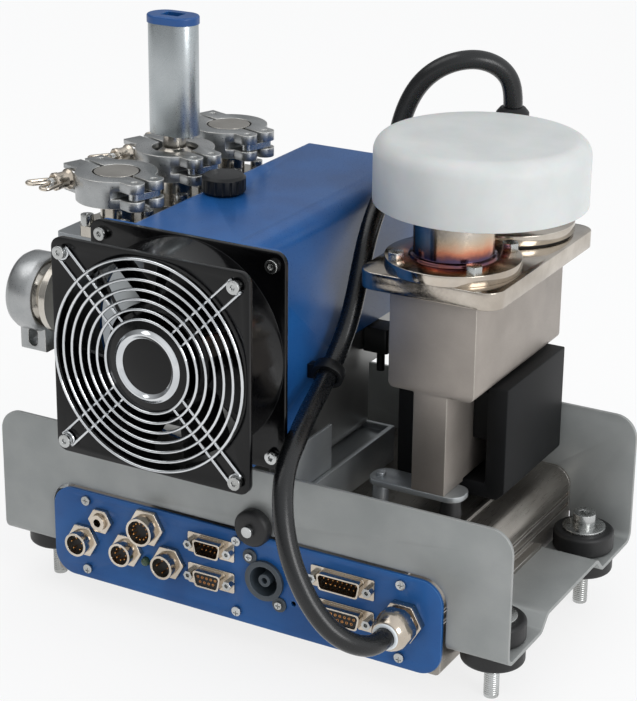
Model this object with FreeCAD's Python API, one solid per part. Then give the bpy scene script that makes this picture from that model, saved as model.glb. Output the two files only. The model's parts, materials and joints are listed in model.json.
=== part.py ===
import FreeCAD, Part
import math
import os

# Helium leak detector module on a folded sheet tray with four rubber feet.
# Lengths are millimetres. While it is modelled, x runs from the tray's left end,
# y runs back from the outer face of its front wall and z runs up from its underside.
# At the end everything is shifted so that the origin is on the floor, at the centre
# of the lower ends of the four foot studs.

V = FreeCAD.Vector
RIGHT = V(1, 0, 0)
BACK = V(0, 1, 0)
UP = V(0, 0, 1)
FRONT = V(0, -1, 0)

# Clearances
seat_gap = 0.3
screw_gap = 0.25
running_gap = 0.05
panel_gap = 1.5

# Tray, folded from one sheet
sheet = 2.0
tray_length = 320.0
tray_depth = 172.0
tray_wall_height = 77.0
tray_corner = 13.0
tray_bend = 4.5
channel_width = 44.0
deck_rise = 7.9
deck_slope = 8.0
notch_corner = 14.0
notch_back_height = 10.5

# Feet
foot_inset = 19.5
foot_depth_inset = 25.0
foot_radius = 17.3
foot_edge = 2.0
foot_upper_height = 12.0
foot_lower_height = 11.0
stud_drop = 33.0
stud_radius = 4.0
stud_neck_radius = 3.8
washer_radius = 12.25
washer_thickness = 1.6
bolt_head_radius = 6.6
bolt_head_height = 8.0
bolt_hex = 6.0

# Electronics housing, extruded from front to back
housing_left = 37.5
housing_width = 244.5
housing_bottom = -15.0
housing_height = 53.0
housing_corner = 11.0
housing_foot_corner = 3.0
housing_wall = 3.0
end_plate_thickness = 2.0
groove_depth = 1.5
groove_heights = (15.0, 21.5)
groove_width = 2.6
ledge_width = 5.0
ledge_thickness = 2.5
ledge_margin = 2.0
top_rib_inset = 23.0
top_rib_width = 2.0
top_rib_height = 1.6
boss_radius = 3.4
small_screw_radius = 1.5
board_rise = 7.4
board_thickness = 1.6
board_margin_side = 14.0
board_margin_end = 26.0
board_post_radius = 4.0
board_post_inset = 8.0
board_coil_side = 34.0
board_coil_height = 22.0
board_coil_inset = 20.0
board_coil_columns = (30.0, 92.0)
board_can_radius = 8.0
board_can_height = 20.0
board_can_depth = 30.0
board_can_columns = (150.0, 170.0, 190.0)
board_fin_left = 140.0
board_fin_length = 60.0
board_fin_depth = 68.0
board_fin_thickness = 6.0
board_fin_height = 18.0
solder_depth = 0.5

# Front panel
panel_left_overlap = 0.5
panel_right_overlap = 1.0
panel_top_overlap = 1.0
panel_thickness = 2.0
panel_corner = 13.0
panel_screw_left_inset = 22.8
panel_screw_right_inset = 23.7
panel_screw_middle_shift = -0.8
panel_screw_edge = 5.2
panel_screw_head_radius = 2.8
panel_screw_head_height = 1.8
panel_screw_tail = 8.0
power_screw_head_radius = 2.24
power_screw_head_height = 1.44

# Round sockets of the panel: across, above, barrel radius
round_socket_places = ((57.9, 9.4, 7.0), (87.9, 10.6, 7.0), (101.3, 27.9, 8.2), (115.8, 10.1, 7.0))
round_socket_reach = 10.0
round_socket_tail = 14.0
round_socket_wall = 1.3
round_socket_hollow = 6.0
round_socket_step = 1.6
socket_nut_extra = 2.6
socket_nut_thickness = 3.2
socket_nut_corner_loss = 1.0
audio_nut_extra = 4.4
socket_insert_thickness = 2.0
audio_socket_place = (70.2, 24.1)
audio_socket_radius = 4.6
audio_socket_bore = 2.4
audio_socket_reach = 5.5
led_place = (99.6, 5.8)
led_radius = 2.5
key_hole_place = (194.6, 4.7)
key_hole_radius = 1.6

# Multi-pin sockets: across, above, shell width, jackscrew spacing, pins stand free
dsub_places = (
    (142.8, 26.0, 18.0, 25.0, True),
    (142.8, 7.2, 18.0, 25.0, False),
    (224.7, 25.9, 26.4, 33.3, True),
    (224.7, 7.1, 26.4, 33.3, False),
)
dsub_height = 9.4
dsub_reach = 6.0
dsub_wall = 0.8
dsub_flange_height = 12.0
dsub_flange_thickness = 0.8
dsub_lean = 1.6
dsub_ear = 2.4
dsub_tail = 8.0
dsub_pin_floor = 1.6
dsub_corner = 1.8
dsub_face_set_back = 0.6
dsub_floor_thickness = 1.0
dsub_flange_corner = 1.0
jackscrew_flat = 4.8
jackscrew_reach = 4.5
jackscrew_bore = 1.2

# Round power socket
power_place = (177.0, 14.5)
power_radius = 11.6
power_bore = 8.6
power_hub_radius = 3.6
power_reach = 2.2
power_depth = 16.0
power_barrel_wall = 1.0
power_floor_thickness = 3.0
power_screw_offset = (9.3, 12.2)
power_ear_radius = 4.2
power_flange_thickness = 1.2

# Cable gland
gland_place = (261.5, 14.0)
gland_hex = 21.0
gland_hex_thickness = 5.0
gland_neck_radius = 8.2
gland_neck_length = 3.0
gland_nut_length = 13.5
gland_nut_radius = 11.2
gland_mouth_radius = 4.6
gland_tail_step = 1.0
gland_tail_length = 12.0
gland_nut_flat_part = 6.1
gland_nut_shoulder = (10.4, 2.5)
gland_nut_dome = (9.2, 2.0)
gland_nut_tip_radius = 7.8
cable_diameter = 11.0

# Rubber bumper on the front wall
bumper_place = (171.0, 45.5)
bumper_radius = 10.5
bumper_thickness = 7.0
bumper_screw_radius = 3.2
bumper_rim_height = 2.5
bumper_shoulder = (1.0, 0.8)
bumper_flat_inset = 3.5
bumper_screw_head = 3.0
bumper_screw_tail = 3.0
bumper_nut_thickness = 2.4

# Pump base on the housing, a folded box with a lipped rim
base_left = 96.0
base_right = 188.0
base_front = 8.0
base_back = 127.0
base_deck_height = 18.0
base_rim_height = 22.0
base_lip = 3.0
side_plate_back = 57.0
side_plate_height = 30.0
side_plate_foot = 9.0
side_plate_bend = 1.0

# Pump and its cover
cover_left = 100.0
cover_width = 76.0
cover_front = -12.0
cover_back = 174.0
cover_rise = 151.0
cover_fold = 12.0
cover_lip_gap = 1.0
cover_left_bend = 1.5
cover_low_edge = 29.0
cover_high_edge = 68.0
cover_low_back = 22.0
cover_high_front = 70.0
pump_side_gap = 3.0
pump_front = -4.0
pump_back = 160.0
pump_top_gap = 4.0
pump_corner = 8.0
pump_bore_radius = 31.0
pump_bore_rise = 78.0
pump_bore_end = 14.0
pump_bore_wall = 6.0
pump_pad_radius = 5.0
pump_pad_offset = 14.0
pump_pad_inset = 20.0
pump_cover_allowance = 1.0
pump_lid_thickness = 6.0
rotor_disc_radius = 29.5
rotor_disc_thickness = 4.0
rotor_disc_count = 7
rotor_hub_radius = 12.0
rotor_shaft_radius = 5.0
bearing_radius = 11.0
bearing_width = 9.0
bearing_seat_wall = 4.0
bearing_set_back = 2.0
rotor_hub_gap = 3.0
cap_from_left = 13.0
cap_depth_place = 61.0
cap_radius = 12.2
cap_height = 10.2
cap_rib_count = 18
cap_rib = 0.7
cap_stem_radius = 6.0
cap_stem_depth = 12.0
cap_stem_gap = 1.5
cap_bevel = 1.5
cap_foot_bevel = 1.2
cap_groove_depth = 0.3
cap_groove_margin = 3.0

# Cooling fan
fan_size = 119.0
fan_offset = -1.2
fan_thickness = 38.0
fan_flange = 3.0
fan_corner = 6.0
fan_hole_spacing = 104.8
fan_hole_radius = 2.2
fan_ear = 5.0
fan_duct_radius = 57.2
fan_duct_wall = 1.6
fan_hub_radius = 31.0
fan_hub_length = 26.0
fan_blade_radius = 55.5
fan_blade_count = 7
fan_blade_pitch = 38.0
fan_blade_chord = 27.0
fan_blade_thickness = 1.8
fan_blade_twist = 0.55
fan_blade_root_share = 0.72
fan_blade_sweep = 14.0
fan_hub_bevel = 3.0
fan_blade_margin = 0.5
fan_hub_back_gap = 1.0
fan_mount_radius = 26.0
fan_mount_thickness = 6.0
fan_strut_width = 7.0
fan_shaft_radius = 2.5
fan_shaft_length = 4.6
guard_wire = 1.6
guard_ring_count = 7
guard_ring_step = 5.3
guard_outer_radius = 57.0
guard_disc_radius = 25.2
guard_emboss_radius = 17.5
guard_emboss_width = 2.2
guard_spoke_half_gap = 4.0
guard_loop_radius = 4.6
guard_loop_extra = 0.6
guard_weld_depth = 0.2
guard_emboss_rise = 1.0
fan_screw_head_radius = 3.6
fan_screw_head_height = 2.6
fan_screw_radius = 1.9
fan_nut_flat = 7.0
fan_nut_thickness = 3.0
fan_screw_recess = 2.6
fan_screw_recess_floor = 1.2

# Vacuum block to the left of the pump
block_left = 38.0
block_front = 7.0
block_back = 157.5
block_height = 76.0
block_top_drop = 20.0
block_corner = 3.0
port_from_block_left = 30.6
port_ys = (22.3, 80.3, 138.3)
port_boss_radius = 20.5
port_boss_height = 6.0
port_tube_radius = 9.2
port_tube_bore = 7.6
port_tube_length = 21.8
port_screw_circle = 16.6
port_screw_radius = 3.6
port_screw_height = 6.0
port_screw_hex = 3.0
port_screw_hex_depth = 2.5
port_screw_shank_radius = 1.5
port_screw_hole_radius = 1.6
block_bore_floor = 20.0
kf_radius = 15.0
kf_edge = 3.0
kf_taper = 1.4
blank_hub_radius = 12.2

# Hinged clamps on the three ports
clamp_turn = -19.0
clamp_radius = 22.5
clamp_height = 15.0
clamp_top_bore = 13.2
clamp_jaw_gap = 2.6
clamp_groove_gap = 0.25
clamp_link_reach = 25.0
clamp_link_radius = 5.4
clamp_link_half = 6.4
clamp_bolt_reach = 25.0
clamp_bolt_half = 8.0
clamp_bolt_wall = 5.0
clamp_slot_height = 4.4
clamp_link_web = 12.0
clamp_link_slot_depth = 9.0
clamp_bolt_lug_tip = 6.0
clamp_bolt_lug_root = 14.0
clamp_eye_gap = 0.4
clamp_pin_low_inset = 0.6
clamp_pin_high_inset = 0.4
link_thickness = 3.6
link_width = 7.0
clamp_pin_radius = 2.0
swing_bolt_radius = 2.5
swing_eye_radius = 4.4
swing_eye_half = 2.6
wing_barrel_radius = 4.6
wing_barrel_length = 11.0
wing_span = 13.0
wing_height = 9.0
wing_thickness = 3.0
wing_flare = 1.2
wing_flare_height = 1.6
wing_flare_end = 3.2
wing_tip_share = 0.85
wing_overhang = 2.0
wing_turn = -28.0
swing_bolt_tail = 3.0

# Gauge on the middle port
gauge_stem_radius = 6.5
gauge_stem_top = 8.0
gauge_hub_step = 1.5
gauge_length = 30.0
gauge_thickness = 19.0
gauge_height = 63.0
gauge_cap_height = 4.6
gauge_cap_overhang = 0.6
gauge_cap_edge = 1.2
gauge_socket_length = 12.0
gauge_socket_width = 9.0
gauge_socket_depth = 12.0
gauge_screw_radius = 1.9
gauge_screw_reach = 2.0
gauge_screw_inset = 4.5

# Side port of the vacuum block
side_port_depth = 15.0
side_port_drop = 40.0
side_port_reach = 8.0
side_port_radius = 15.5
side_port_ring_radius = 21.0
side_port_ring_width = 4.0
side_port_cone = 3.0
side_port_flange_extra = 3.6
side_port_flange_cone = 4.0
side_port_flange_end = 16.0
side_port_blank = 4.0
side_clamp_radius = 22.5
side_clamp_width = 17.0
side_clamp_set_back = 1.5
side_clamp_edge = 1.5
side_clamp_slope = 3.0
side_tab_length = 24.0
side_tab_thickness = 9.0
side_tab_hole_length = 11.0
side_tab_hole_width = 6.6
side_tab_hang = 0.45
side_tab_offset = 4.0
side_tab_hole_rise = 2.6
side_tab_corner = 1.5

# Mass spectrometer
analyser_left = 218.0
analyser_width = 51.0
analyser_front = 58.0
analyser_back = 173.0
analyser_height = 54.5
analyser_corner = 4.0
blade_rise = 19.8
blade_width = 20.0
blade_height = 57.4
blade_foot_depth = 24.0
blade_tail_depth = 4.5
blade_wall_gap = 1.5
rear_cover_thickness = 5.0
rear_cover_inset = 3.0
blade_yoke_gap = 2.0
plate_left = 199.0
plate_width = 82.5
plate_front = 53.5
plate_back = 190.0
plate_thickness = 9.8
plate_corner = 11.0
flange_radius = 37.0
flange_thickness = 6.0
first_flange_place = (240.8, 87.0)
tube_radius = 21.8
tube_wall = 1.8
weld_radius = 24.0
weld_height = 2.2
weld_slope = 0.4
weld_shoulder = 0.6
flange_bolt_spacing = 45.6
flange_bolt_flat = 8.0
flange_bolt_height = 4.4
second_flange_place = (239.0, 162.0)
second_flange_radius = 37.4
gasket_thickness = 1.0
gasket_outer_inset = 1.5
gasket_inner_inset = 8.0
inlet_flange_radius = 56.0
inlet_flange_thickness = 17.5
cap_gap_above_flange = 23.9
shroud_place = (244.0, 112.0)
shroud_radius = 58.5
shroud_height = 36.5
shroud_wall = 2.0
shroud_edge = 9.0
shroud_step = 2.0
connector_place = (230.0, 182.0)
connector_radius = 9.0
connector_height = 58.0
connector_collar_radius = 10.4
connector_collar_height = 9.0
connector_foot_height = 5.0
connector_foot_slope = 0.8
connector_groove_depth = 1.2
connector_groove_drop = 12.0
connector_groove_slope = 1.0
connector_grip_extra = 0.4
connector_grip_slope = 0.6
connector_tip_height = 3.0
connector_tip_wall = 1.4

# Magnet round the blade
yoke_width = 66.0
yoke_front = 86.0
yoke_rise = 10.5
yoke_arm = 12.0
yoke_floor = 9.0
yoke_chamfer = 5.0
pole_end_inset = 6.0
pole_bottom_drop = 34.0
pole_top_drop = 6.0
pole_face_gap = 0.3

# Shelf, spacers and rubber foot under the blade
shelf_left = 205.0
shelf_right = 262.0
shelf_back = 77.0
shelf_thickness = 3.2
shelf_corner = 8.0
spacer_radius = 4.5
front_spacer_place = (211.0, 66.0)
rear_spacer_radius = 2.2
rubber_foot_place = (254.0, 66.0)
rubber_foot_radius = 6.2
rubber_foot_low = (3.8, 5.6)
rubber_foot_bulge = (3.0, 7.0)
rubber_foot_high = (5.3, 3.7)
rubber_foot_top_bevel = 1.5
spacer_head_height = 2.4

# Cable from the gland to the connector behind the cap: across, behind, above
cable_route = (
    (261.5, -32.9, 14.0),
    (258.4, -41.8, 16.3),
    (252.6, -49.3, 21.1),
    (244.8, -54.0, 28.5),
    (236.5, -55.6, 38.5),
    (229.6, -55.7, 49.4),
    (223.2, -54.2, 60.8),
    (217.7, -50.9, 72.4),
    (213.1, -45.8, 83.8),
    (209.4, -38.8, 93.8),
    (206.5, -29.9, 101.7),
    (204.1, -18.2, 106.9),
    (200.1, -3.3, 110.0),
    (194.7, 13.7, 112.0),
    (190.6, 31.0, 114.8),
    (187.6, 47.0, 120.4),
    (186.9, 60.0, 129.9),
    (187.0, 70.5, 142.0),
    (186.6, 78.6, 155.7),
    (185.9, 86.0, 170.3),
    (184.4, 95.5, 184.0),
    (182.6, 108.0, 195.0),
    (180.4, 123.0, 203.6),
    (177.0, 136.5, 213.0),
    (175.3, 146.3, 226.0),
    (176.5, 151.8, 241.0),
    (182.3, 154.9, 255.2),
    (192.1, 157.4, 265.8),
    (204.0, 161.7, 271.9),
    (215.7, 169.1, 272.7),
    (225.2, 177.4, 266.6),
    (230.0, 182.0, 255.7),
)
clip_point = 15
clip_radius = 9.0
clip_bore = 6.3
clip_width = 6.0
clip_arm_half_depth = 3.0
clip_arm_half_height = 4.0
plug_place = (180.5, 122.0)
plug_size = (15.0, 15.0, 15.0)
plug_stud_radius = 2.4
plug_stud_length = 13.0
plug_corner = 2.0
plug_drop = 1.0

# Places that follow from the sizes above
deck_top = deck_rise + sheet
housing_right = housing_left + housing_width
housing_top = housing_bottom + housing_height
housing_back = tray_depth - sheet - end_plate_thickness
panel_left = housing_left - panel_left_overlap
panel_right = housing_right + panel_right_overlap
panel_top = housing_top + panel_top_overlap
panel_screw_columns = (
    panel_left + panel_screw_left_inset,
    (panel_left + panel_right) / 2 + panel_screw_middle_shift,
    panel_right - panel_screw_right_inset,
)
base_deck = housing_top + base_deck_height
base_rim = housing_top + base_rim_height
cover_right = cover_left + cover_width
cover_top = base_deck + cover_rise
fan_x = cover_left + cover_width / 2 + fan_offset
fan_z = cover_top - fan_size / 2
fan_back = cover_front
fan_front = fan_back - fan_thickness
pump_left = cover_left + pump_side_gap
pump_right = cover_right - sheet - pump_side_gap + pump_cover_allowance
pump_top = cover_top - pump_top_gap
pump_x = (pump_left + pump_right) / 2
pump_z = base_deck + pump_bore_rise
block_top = cover_top - block_top_drop
block_bottom = block_top - block_height
port_x = block_left + port_from_block_left
boss_top = block_top + port_boss_height
kf_joint = boss_top + port_tube_length
clamp_bottom = kf_joint - clamp_height / 2
clamp_top = clamp_bottom + clamp_height
side_port_z = block_top - side_port_drop
blade_bottom = housing_top + blade_rise
analyser_bottom = blade_bottom + blade_height
analyser_top = analyser_bottom + analyser_height
analyser_x = analyser_left + analyser_width / 2
plate_top = analyser_top + plate_thickness
first_flange_top = plate_top + flange_thickness
second_flange_bottom = plate_top + gasket_thickness
second_flange_top = second_flange_bottom + flange_thickness
shroud_bottom = first_flange_top + cap_gap_above_flange
shroud_top = shroud_bottom + shroud_height
blade_back = tray_depth - sheet - blade_wall_gap
yoke_back = blade_back - blade_tail_depth
pole_front = yoke_front + pole_end_inset
pole_back = yoke_back - pole_end_inset
yoke_bottom = housing_top + yoke_rise
yoke_top = analyser_bottom - 2 * seat_gap
shelf_top = blade_bottom


def box(x0, x1, y0, y1, z0, z1):
    return Part.makeBox(x1 - x0, y1 - y0, z1 - z0, V(x0, y0, z0))


def rod(radius, start, end):
    start = V(*start)
    end = V(*end)
    return Part.makeCylinder(radius, (end - start).Length, start, end - start)


def pipe(outer, inner, start, end):
    return rod(outer, start, end).cut(rod(inner, start, end))


def hexagon(flats, start, end):
    start = V(*start)
    along = V(*end) - start
    corner_radius = flats / math.sqrt(3)
    turn = FreeCAD.Rotation(UP, along)
    corners = []
    for number in range(7):
        angle = math.radians(60 * number)
        corner = V(corner_radius * math.cos(angle), corner_radius * math.sin(angle), 0)
        corners.append(start + turn.multVec(corner))
    return Part.Face(Part.makePolygon(corners)).extrude(along)


def rounded_outline(points, radii, place, closed=True):
    """A wire through points in a plane, each corner an arc of its own radius."""
    count = len(points)
    starts = []
    edges = []
    for index in range(count):
        here = V(points[index][0], points[index][1], 0)
        radius = radii[index]
        at_end = not closed and index in (0, count - 1)
        if radius <= 0 or at_end:
            starts.append((here, None, here))
            continue
        before = V(*points[index - 1], 0)
        after = V(*points[(index + 1) % count], 0)
        inward = (before - here).normalize()
        onward = (after - here).normalize()
        half_angle = inward.getAngle(onward) / 2
        reach = radius / math.tan(half_angle)
        middle = (inward + onward).normalize()
        apex = here + middle * (radius / math.sin(half_angle) - radius)
        starts.append((here + inward * reach, apex, here + onward * reach))
    spans = count if closed else count - 1
    for index in range(count):
        first, apex, last = starts[index]
        if apex is not None:
            edges.append(Part.Arc(place(first), place(apex), place(last)).toShape())
        if index < spans:
            following = starts[(index + 1) % count][0]
            if (following - last).Length > 1e-6:
                edges.append(Part.LineSegment(place(last), place(following)).toShape())
    return edges


def flat(place):
    """Turn a point of the drawing plane into a point of the model."""
    return {
        "top": lambda point: V(point.x, point.y, 0),
        "front": lambda point: V(point.x, 0, point.y),
        "side": lambda point: V(0, point.x, point.y),
    }[place]


def extruded(points, radii, view, start, length):
    """An outline drawn in the top, front or side view, extruded square to that view."""
    along = {"top": UP, "front": BACK, "side": RIGHT}[view]
    wire = Part.Wire(rounded_outline(points, radii, flat(view)))
    solid = Part.Face(wire).extrude(along * length)
    solid.translate(along * start)
    return solid


def rounded_box(x0, x1, y0, y1, z0, z1, radius, view):
    """A box whose four edges square to the view are rounded."""
    if view == "top":
        return extruded([(x0, y0), (x1, y0), (x1, y1), (x0, y1)], [radius] * 4, view, z0, z1 - z0)
    if view == "front":
        return extruded([(x0, z0), (x1, z0), (x1, z1), (x0, z1)], [radius] * 4, view, y0, y1 - y0)
    return extruded([(y0, z0), (y1, z0), (y1, z1), (y0, z1)], [radius] * 4, view, x0, x1 - x0)


def folded_sheet(points, thickness, bend, view, start, length):
    """A sheet folded along an open line, with its thickness to the left of the line."""
    shifted = []
    near_radii = []
    far_radii = []
    count = len(points)
    for index in range(count):
        here = V(*points[index], 0)
        before = V(*points[max(index - 1, 0)], 0)
        after = V(*points[min(index + 1, count - 1)], 0)
        arriving = (here - before) if index > 0 else (after - here)
        leaving = (after - here) if index < count - 1 else (here - before)
        arriving = arriving.normalize()
        leaving = leaving.normalize()
        left_of_arriving = V(-arriving.y, arriving.x, 0)
        left_of_leaving = V(-leaving.y, leaving.x, 0)
        middle = (left_of_arriving + left_of_leaving).normalize()
        reach = thickness / middle.dot(left_of_arriving)
        shifted.append(here + middle * reach)
        turns_left = arriving.cross(leaving).z > 0
        inside = bend[index] if isinstance(bend, list) else bend
        near_radii.append(inside + thickness if turns_left else inside)
        far_radii.append(inside if turns_left else inside + thickness)
    place = flat(view)
    near = rounded_outline(points, near_radii, place, closed=False)
    far = rounded_outline([(point.x, point.y) for point in shifted], far_radii, place, closed=False)
    first_end = Part.LineSegment(place(V(*points[0], 0)), place(shifted[0])).toShape()
    last_end = Part.LineSegment(place(V(*points[-1], 0)), place(shifted[-1])).toShape()
    wire = Part.Wire(Part.__sortEdges__(near + far + [first_end, last_end]))
    along = {"top": UP, "front": BACK, "side": RIGHT}[view]
    solid = Part.Face(wire).extrude(along * length)
    solid.translate(along * start)
    return solid


def turned(profile, base, axis):
    """A closed profile of radius and height pairs, revolved about an axis."""
    corners = [V(radius, 0, height) for radius, height in profile]
    wire = Part.makePolygon(corners + corners[:1])
    solid = Part.Face(wire).revolve(V(0, 0, 0), UP, 360)
    solid.Placement = FreeCAD.Placement(V(*base), FreeCAD.Rotation(UP, axis))
    return solid


def joined(shapes):
    first, *others = shapes
    return first.fuse(others).removeSplitter() if others else first


def group(shapes):
    solids = []
    for shape in shapes:
        solids.extend(shape.Solids)
    return Part.makeCompound(solids)


def foot_places():
    for x in (foot_inset, tray_length - foot_inset):
        for y in (foot_depth_inset, tray_depth - foot_depth_inset):
            yield x, y


# Tray and feet

def make_tray():
    far_channel = tray_depth - channel_width
    line = [
        (0, tray_wall_height),
        (0, 0),
        (channel_width, 0),
        (channel_width + deck_slope, deck_rise),
        (far_channel - deck_slope, deck_rise),
        (far_channel, 0),
        (tray_depth, 0),
        (tray_depth, tray_wall_height),
    ]
    tray = folded_sheet(line, sheet, tray_bend, "side", 0, tray_length)
    envelope = rounded_box(
        0, tray_length, -1, tray_depth + 1, -2 * tray_corner, tray_wall_height, tray_corner, "front")
    tray = tray.common(envelope)
    front_notch = rounded_box(
        panel_left - panel_gap, panel_right + panel_gap,
        -1, sheet + tray_bend + 1,
        -3 * notch_corner, panel_top + panel_gap, notch_corner, "front")
    deck_cut = box(
        housing_left - seat_gap, housing_right + seat_gap,
        sheet + tray_bend, tray_depth + 1,
        -1, notch_back_height)
    tray = tray.cut(front_notch).cut(deck_cut)
    holes = [rod(stud_radius + screw_gap, (x, y, -1), (x, y, sheet + 1)) for x, y in foot_places()]
    for x in end_screw_columns():
        holes.append(rod(small_screw_radius + screw_gap, (x, tray_depth - sheet - 1, end_screw_height()),
                         (x, tray_depth + 1, end_screw_height())))
    holes.append(rod(bumper_screw_radius / 2 + screw_gap, (bumper_place[0], -1, bumper_place[1]),
                     (bumper_place[0], sheet + 1, bumper_place[1])))
    return tray.cut(together(holes))


def together(shapes):
    return Part.makeCompound(shapes)


def end_screw_columns():
    return panel_screw_columns[0], panel_screw_columns[2]


def end_screw_height():
    return housing_top - housing_wall - 2 * boss_radius


def make_foot_rubbers():
    """Each foot has a rubber above the sheet and one below it."""
    rubbers = []
    for bottom, top in ((sheet, sheet + foot_upper_height), (-foot_lower_height, 0)):
        for x, y in foot_places():
            body = rod(foot_radius, (x, y, bottom), (x, y, top))
            body = body.makeFillet(foot_edge, [edge for edge in body.Edges if edge.Closed])
            rubbers.append(body.cut(rod(stud_radius + screw_gap, (x, y, bottom - 1), (x, y, top + 1))))
    return group(rubbers)


def make_foot_washers():
    low = sheet + foot_upper_height
    return group([
        pipe(washer_radius, stud_radius + screw_gap, (x, y, low), (x, y, low + washer_thickness))
        for x, y in foot_places()])


def make_foot_bolts():
    seat = sheet + foot_upper_height + washer_thickness
    head_top = seat + bolt_head_height
    bolts = []
    for x, y in foot_places():
        head = rod(bolt_head_radius, (x, y, seat), (x, y, head_top))
        stud = rod(stud_radius, (x, y, -stud_drop), (x, y, -foot_lower_height))
        neck = rod(stud_neck_radius, (x, y, -foot_lower_height - 1), (x, y, seat + 1))
        hollow = hexagon(bolt_hex, (x, y, head_top - bolt_head_height / 2), (x, y, head_top + 1))
        bolts.append(joined([head, stud, neck]).cut(hollow))
    return group(bolts)


# Electronics housing

def housing_outline(inset, y0, y1):
    low = housing_foot_corner
    high = housing_corner
    x0 = housing_left + inset
    x1 = housing_right - inset
    z0 = housing_bottom + inset
    z1 = housing_top - inset
    radii = [max(radius - inset, 0.5) for radius in (low, low, high, high)]
    return extruded([(x0, z0), (x1, z0), (x1, z1), (x0, z1)], radii, "front", y0, y1 - y0)


def panel_screw_places():
    for x in panel_screw_columns:
        for z in (housing_bottom + panel_screw_edge + 1.0, housing_top - panel_screw_edge + 1.0):
            yield x, z


def make_housing():
    shell = housing_outline(0, 0, housing_back).cut(housing_outline(housing_wall, -1, housing_back + 1))
    low_flat = channel_width + deck_slope + ledge_margin
    high_flat = tray_depth - low_flat
    extras = [
        box(housing_right - 1, housing_right + ledge_width, low_flat, high_flat,
            deck_top, deck_top + ledge_thickness),
        box(housing_left - ledge_width, housing_left + 1, low_flat, high_flat,
            deck_top, deck_top + ledge_thickness),
        box(housing_right - top_rib_inset, housing_right - top_rib_inset + top_rib_width,
            sheet + seat_gap, housing_back, housing_top - 1, housing_top + top_rib_height),
    ]
    cuts = []
    for height in groove_heights:
        cuts.append(box(housing_right - groove_depth, housing_right + 1, -1, housing_back + 1,
                        height, height + groove_width))
        cuts.append(box(housing_left - 1, housing_left + groove_depth, -1, housing_back + 1,
                        height, height + groove_width))
    for x, z in panel_screw_places():
        extras.append(rod(boss_radius, (x, 0, z), (x, housing_back, z)))
        cuts.append(rod(small_screw_radius, (x, -1, z), (x, housing_back + 1, z)))
    floor = housing_bottom + housing_wall
    for x, y in board_post_places():
        extras.append(rod(board_post_radius, (x, y, floor - 1), (x, y, floor + board_rise)))
    return joined([shell] + extras).cut(together(cuts))


def board_area():
    return (housing_left + board_margin_side, housing_right - board_margin_side,
            board_margin_end, housing_back - board_margin_end)


def board_post_places():
    x0, x1, y0, y1 = board_area()
    for x in (x0 + board_post_inset, x1 - board_post_inset):
        for y in (y0 + board_post_inset, y1 - board_post_inset):
            yield x, y


def make_end_plate():
    plate = housing_outline(0, housing_back, housing_back + end_plate_thickness)
    holes = []
    for x in end_screw_columns():
        z = end_screw_height()
        holes.append(rod(small_screw_radius, (x, housing_back - 1, z),
                         (x, housing_back + end_plate_thickness + 1, z)))
    return plate.cut(together(holes))


def make_end_screws():
    screws = []
    for x in end_screw_columns():
        z = end_screw_height()
        head = rod(panel_screw_head_radius, (x, tray_depth, z), (x, tray_depth + panel_screw_head_height, z))
        shank = rod(small_screw_radius, (x, housing_back, z), (x, tray_depth + 1, z))
        screws.append(joined([head, shank]))
    return screws


def make_circuit_board():
    x0, x1, y0, y1 = board_area()
    low = housing_bottom + housing_wall + board_rise
    top = low + board_thickness
    parts = [box(x0, x1, y0, y1, low, top)]
    seat = top - solder_depth
    front = y0 + board_coil_inset
    for column in board_coil_columns:
        x = x0 + column
        parts.append(box(x, x + board_coil_side, front, front + board_coil_side, seat,
                         top + board_coil_height))
    for column in board_can_columns:
        x, y = x0 + column, y0 + board_can_depth
        parts.append(rod(board_can_radius, (x, y, seat), (x, y, top + board_can_height)))
    x, y = x0 + board_fin_left, y0 + board_fin_depth
    parts.append(box(x, x + board_fin_length, y, y + board_fin_thickness, seat, top + board_fin_height))
    return joined(parts)


# Front panel and what sits in it

def make_front_panel():
    panel = rounded_box(panel_left, panel_right, -panel_thickness, 0, housing_bottom, panel_top,
                        panel_corner, "front")
    cuts = [through_panel(small_screw_radius + screw_gap, x, z) for x, z in panel_screw_places()]
    for x, z, barrel in round_socket_places:
        cuts.append(through_panel(barrel - round_socket_step + screw_gap, x, z))
    cuts.append(through_panel(audio_socket_radius + screw_gap, *audio_socket_place))
    cuts.append(through_panel(led_radius + screw_gap, *led_place))
    cuts.append(through_panel(key_hole_radius, *key_hole_place))
    cuts.append(through_panel(power_bore + power_barrel_wall + screw_gap, *power_place))
    cuts.append(through_panel(gland_neck_radius - gland_tail_step + screw_gap, *gland_place))
    for x, z, width, spacing, male in dsub_places:
        half = width / 2 + screw_gap
        cuts.append(box(x - half, x + half, -panel_thickness - 1, 1,
                        z - dsub_height / 2 - screw_gap, z + dsub_height / 2 + screw_gap))
    return panel.cut(together(cuts))


def through_panel(radius, x, z):
    return rod(radius, (x, -panel_thickness - 1, z), (x, 1, z))


def make_panel_screws():
    face = -panel_thickness
    screws = []
    for x, z in panel_screw_places():
        head = rod(panel_screw_head_radius, (x, face, z), (x, face - panel_screw_head_height, z))
        shank = rod(small_screw_radius - running_gap, (x, face - 1, z), (x, panel_screw_tail, z))
        screws.append(joined([head, shank]))
    x, z = power_place
    for side in (-1, 1):
        place = (x + side * power_screw_offset[0], z - side * power_screw_offset[1])
        low = face - power_flange_thickness
        screws.append(rod(power_screw_head_radius, (place[0], low, place[1]),
                          (place[0], low - power_screw_head_height, place[1])))
    return group(screws + make_end_screws())


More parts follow.
